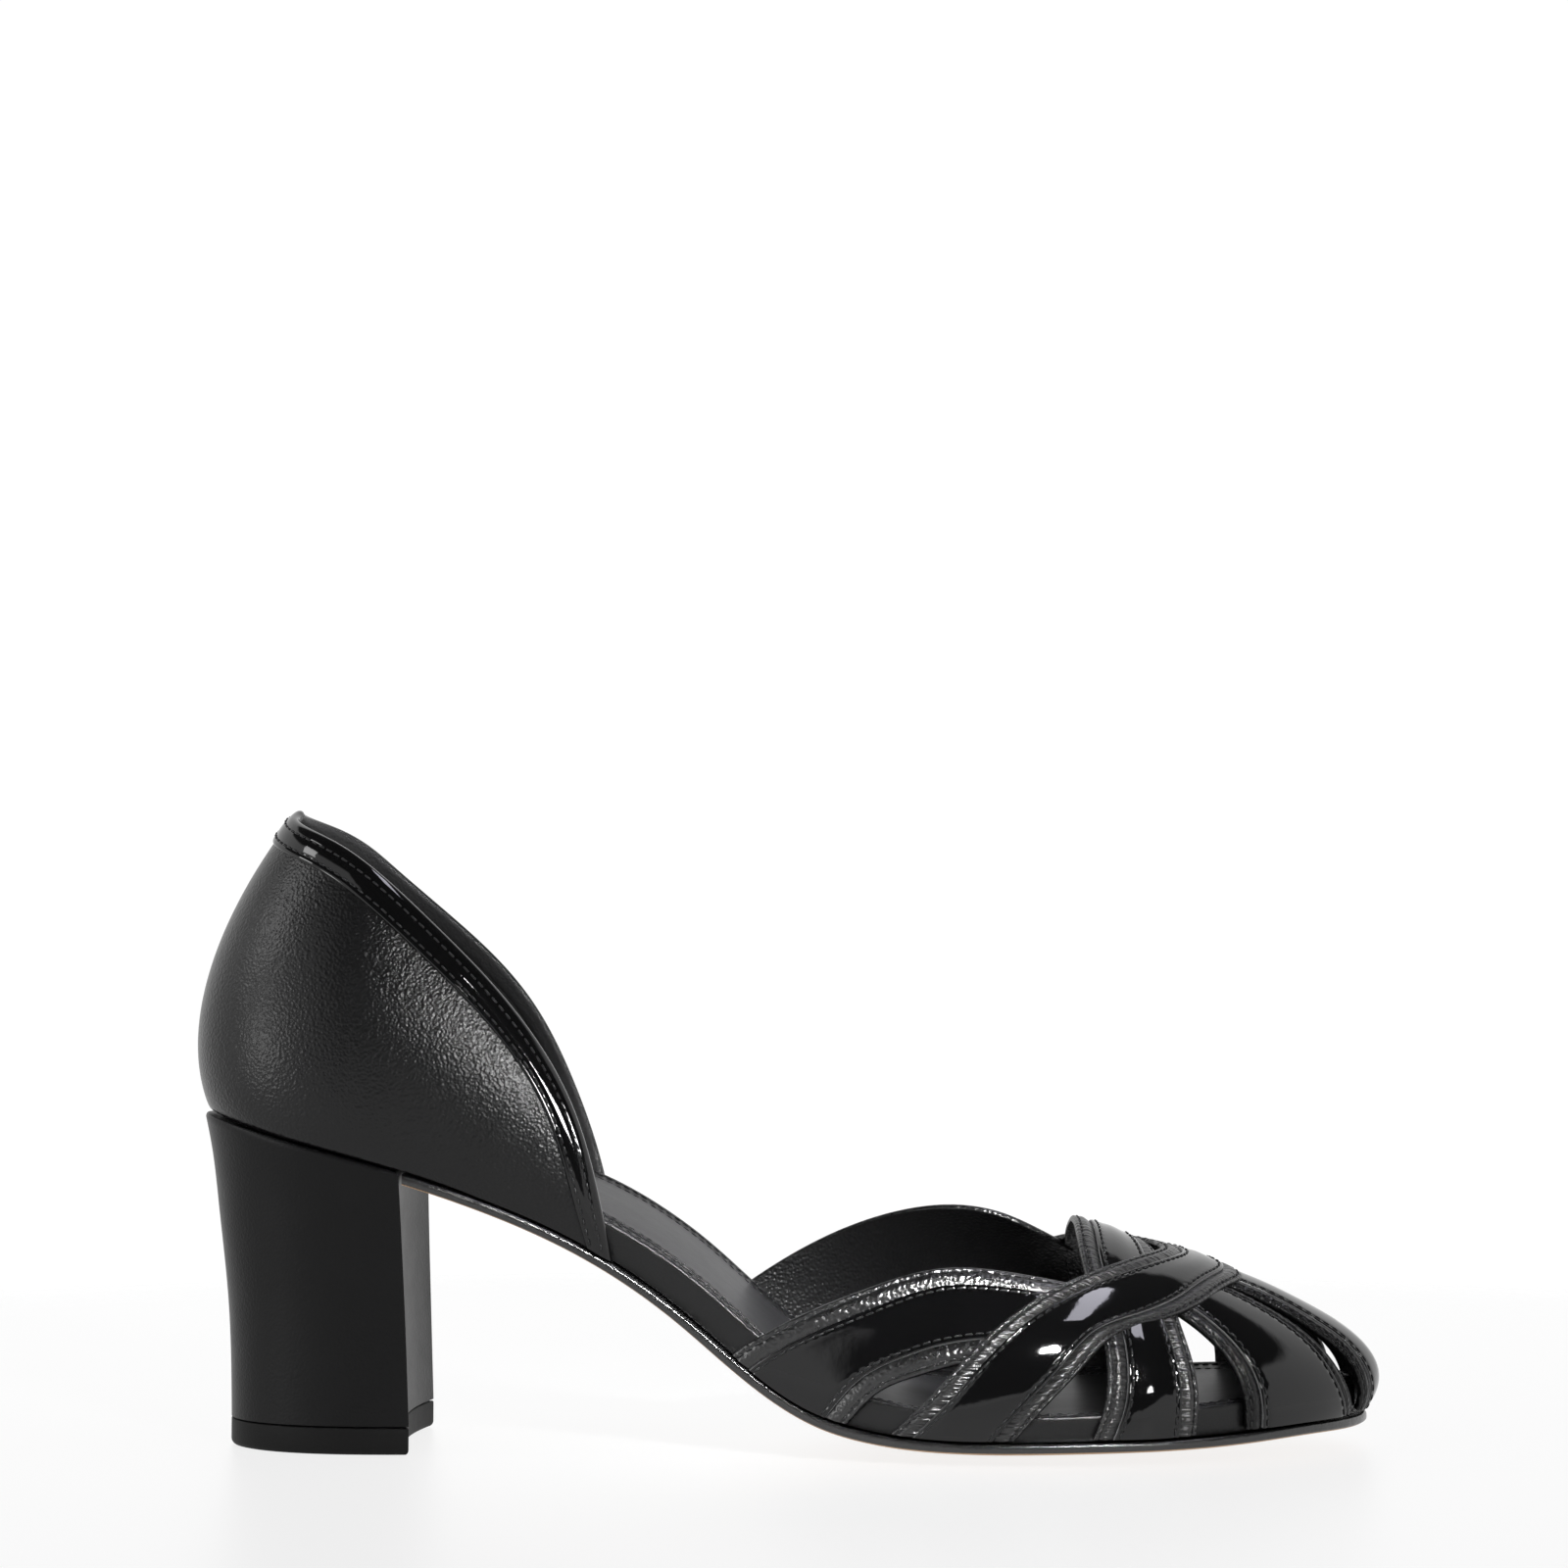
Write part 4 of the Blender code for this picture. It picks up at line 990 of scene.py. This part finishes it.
# Painted light: a lighter copy of the lining leather, its colour raised to lift the shade inside the quarter
# and the collar.
shade_lifted_lining = surface_material(
    "shade_lifted_lining", (0.03, 0.03, 0.0306), (0.045, 0.045, 0.046), (0.4, 0.52), [(0.1, grain(0.6))],
    specular=0.4)
sock_leather = surface_material(
    "sock_leather", (0.014, 0.014, 0.015), (0.024, 0.024, 0.026), (0.36, 0.46),
    [(0.02, grain(0.5)), (0.04, waves(8.0, 3.0))], specular=0.2)
wrap_leather = surface_material(
    "wrap_leather", *BLACK, (0.3, 0.4), [(0.04, grain(0.5)), (0.05, waves(3.0, 3.0))], specular=0.4)
# Lighter grey of the patent's cut edges: partly the raw edge's own tone, partly a painted highlight for the
# thin bright lines where these edges catch the light.
cut_edge_and_highlight = surface_material(
    "cut_edge_and_highlight", (0.1, 0.1, 0.102), (0.24, 0.24, 0.244), (0.45, 0.6), [(0.05, waves(0.5, 3.0))], specular=0.4,
    mottle=2.0)
thread = surface_material(
    "thread", (0.006, 0.006, 0.0063), (0.015, 0.015, 0.016), (0.4, 0.55), [(0.03, waves(0.3))], specular=0.4,
    mottle=3.0)
lift_rubber = surface_material(
    "lift_rubber", (0.003, 0.003, 0.003), (0.007, 0.007, 0.007), (0.5, 0.62), [(0.04, waves(0.5, 3.0))],
    specular=0.14)
sole_edge = surface_material(
    "sole_edge", (0.004, 0.004, 0.004), (0.009, 0.009, 0.009), (0.18, 0.3),
    [(0.1, waves(2.2, 4.0)), (0.06, waves(0.7, 3.0))], specular=0.9)
sole_leather = surface_material(
    "sole_leather", (0.33, 0.19, 0.1), (0.5, 0.33, 0.19), (0.4, 0.58),
    [(0.03, waves(0.4, 3.0)), (0.05, waves(3.0, 4.0))], specular=0.4, mottle=9.0)


# The shoe

vamp_stitches = Stitches()
dress_strap("outer_wing", two_edged(OUTER_WING), 4.4, vamp_stitches, binding_leather)
dress_strap("inner_wing", two_edged(INNER_WING), 4.4, vamp_stitches, binding_leather)
dress_strap("cross_band", two_edged(mirrored(CROSS_HALF)), 3.8, vamp_stitches, creased_leather, 0.16)
dress_strap("outer_toe_band", two_edged(TOE_SIDE), 3.5, vamp_stitches, toe_leather)
dress_strap("inner_toe_band", two_edged(INNER_TOE_SIDE), 3.5, vamp_stitches, toe_leather)
dress_strap("middle_toe_band", toe_centred(TOE_CENTRE_HALF), 3.5, vamp_stitches, toe_leather)
dress_strap("chevron", two_edged(CHEVRON), 4.4, vamp_stitches, creased_leather)
vamp_stitches.build("vamp_stitches", thread, "strap_patent_black")

collar_stitches = Stitches()
build_quarter()
build_collar(collar_stitches)
collar_stitches.build("collar_stitches", thread, "collar_patent_black")

build_heel()
build_lift()
sock_stitches = Stitches()
build_insole(sock_stitches)
sock_stitches.build("sock_stitches", thread, "sock_grey")
build_outsole()


# Studio, in metres

WHITE = (1.0, 1.0, 1.0)
FLOOR_RADIUS = 1.2
FLOOR_DROP = 0.0002  # below the sole
FLOOR_REACH = 0.5  # distance at which the floor has faded out
FLOOR_FADE = 0.7  # share of that distance at which it begins to fade
FLOOR_GLOW = 0.82

# Limits of the white walls, by the height and the turn of a direction
FRONT_TURN = radians(-67.0)  # middle of the dark side in front, from +X
FRONT_EDGE = (0.65, 0.71)  # cosines from that middle at which the walls end
WALL_TOP = (0.58, 0.64)  # heights at which they end
BACK_RISE = 0.2  # how much higher they end straight behind
SILL_TOP = (0.0, 0.03)  # heights at which the white floor ends in front
SILL_RISE = 0.5  # how much higher it ends towards the toe
SILL_START = 0.15  # cosine from +X at which it begins to rise
WALL_GLOW, DARK_GLOW = 0.9, 0.07
SEEN_GLOW = 1.03  # backdrop as the camera sees it
LEAST_LEVEL = 0.001

CAMERA_PLACE = (0.0025, -0.7, 0.0905)
CAMERA_TILT = 3.37  # degrees upwards
CAMERA_TURN = 0.243  # degrees towards the heel
CAMERA_LENS = 79.47  # millimetres, as is the sensor
CAMERA_SENSOR = 36.0


def build_floor():
    bpy.ops.mesh.primitive_circle_add(vertices=96, radius=FLOOR_RADIUS, fill_type="NGON",
                                      location=(0.0, 0.0, -FLOOR_DROP))
    floor = bpy.context.object
    floor.name = "floor"
    material, tree, shader = new_material("floor")
    shader.inputs["Base Color"].default_value = (0.05, 0.05, 0.05, 1.0)
    shader.inputs["Roughness"].default_value = 0.4
    shader.inputs["Specular IOR Level"].default_value = 0.05
    shader.inputs["Emission Color"].default_value = (*WHITE, 1.0)
    shader.inputs["Emission Strength"].default_value = FLOOR_GLOW
    place = add_node(tree, "ShaderNodeTexCoord").outputs["Object"]
    far = add_node(tree, "ShaderNodeVectorMath", {0: place}, operation="LENGTH").outputs["Value"]
    fade = soft_step(tree, far, FLOOR_FADE * FLOOR_REACH, FLOOR_REACH, 0.0, 1.0)
    clear = add_node(tree, "ShaderNodeBsdfTransparent").outputs[0]
    mixed = add_node(tree, "ShaderNodeMixShader", {0: fade, 1: shader.outputs[0], 2: clear}).outputs[0]
    tree.links.new(mixed, tree.nodes["Material Output"].inputs["Surface"])
    floor.data.materials.append(material)


def build_world():
    """White walls behind and at the sides, and a dark studio in front and above."""
    world = bpy.data.worlds.new("studio")
    bpy.context.scene.world = world
    world.use_nodes = True
    tree = world.node_tree
    calc = partial(math_node, tree)
    direction = add_node(tree, "ShaderNodeTexCoord").outputs["Generated"]
    x, y, z = add_node(tree, "ShaderNodeSeparateXYZ", {0: direction}).outputs
    level = calc("SQRT", calc("ADD", calc("MULTIPLY", x, x), calc("MULTIPLY", y, y)))
    level = calc("MAXIMUM", level, LEAST_LEVEL)
    ahead = calc("ADD", calc("MULTIPLY", x, cos(FRONT_TURN)), calc("MULTIPLY", y, sin(FRONT_TURN)))
    beside = soft_step(tree, calc("DIVIDE", ahead, level), *FRONT_EDGE)
    back = calc("MAXIMUM", calc("DIVIDE", y, level), 0.0)
    height = calc("SUBTRACT", z, calc("MULTIPLY", calc("MULTIPLY", back, back), BACK_RISE))
    below = soft_step(tree, height, *WALL_TOP)
    right = calc("MAXIMUM", calc("SUBTRACT", calc("DIVIDE", x, level), SILL_START), 0.0)
    under = soft_step(tree, calc("SUBTRACT", z, calc("MULTIPLY", right, SILL_RISE)), *SILL_TOP)
    lit = calc("MAXIMUM", calc("MULTIPLY", beside, below), under)
    wall = calc("MULTIPLY_ADD", lit, WALL_GLOW, DARK_GLOW)
    seen = add_node(tree, "ShaderNodeLightPath").outputs["Is Camera Ray"]
    strength = calc("MAXIMUM", wall, calc("MULTIPLY", seen, SEEN_GLOW))
    background = tree.nodes["Background"]
    tree.links.new(strength, background.inputs["Strength"])
    background.inputs["Color"].default_value = (*WHITE, 1.0)


def area_light(name, place, target, size, radiance, colour=WHITE, spread=180.0, roll=0.0):
    """Rectangular lamp; spread and roll are in degrees."""
    light = bpy.data.lights.new(name, "AREA")
    light.spread = radians(spread)
    light.shape = "RECTANGLE"
    light.size, light.size_y = size
    light.energy = radiance * pi * size[0] * size[1]
    light.color = colour
    item = placed(name, light)
    item.location = place
    aim = (Vector(target) - Vector(place)).to_track_quat("-Z", "Y")
    item.rotation_euler = (aim @ Quaternion((0.0, 0.0, 1.0), radians(roll))).to_euler()


def build_camera():
    camera = bpy.data.cameras.new("camera")
    camera.sensor_width = CAMERA_SENSOR
    camera.lens = CAMERA_LENS
    item = placed("camera", camera)
    item.location = CAMERA_PLACE
    item.rotation_euler = (radians(90.0 + CAMERA_TILT), 0.0, radians(CAMERA_TURN))
    bpy.context.scene.camera = item


build_floor()
build_world()
area_light("top_box", (0.365, -0.1, 0.95), (0.05, 0.0, 0.03), (0.6, 0.12), 9.5, (0.9, 0.89, 1.0), roll=20.0)
area_light("front_lamp", (0.42, -0.84, 0.415), (-0.052, -0.025, 0.075), (0.2, 0.1), 1.2, spread=15.0)
area_light("vamp_lamp", (0.165, -0.42, 0.34), (0.018, -0.03, 0.03), (0.07, 0.05), 5.9, spread=16.0)
area_light("left_box", (-1.1, -0.25, 0.75), (0.0, 0.0, 0.05), (0.3, 0.4), 6.0)
area_light("left_strip", (-0.93, -0.52, 0.17), (-0.09, 0.0, 0.08), (0.22, 0.26), 8.0)
build_camera()
bpy.context.scene.view_settings.view_transform = "Standard"
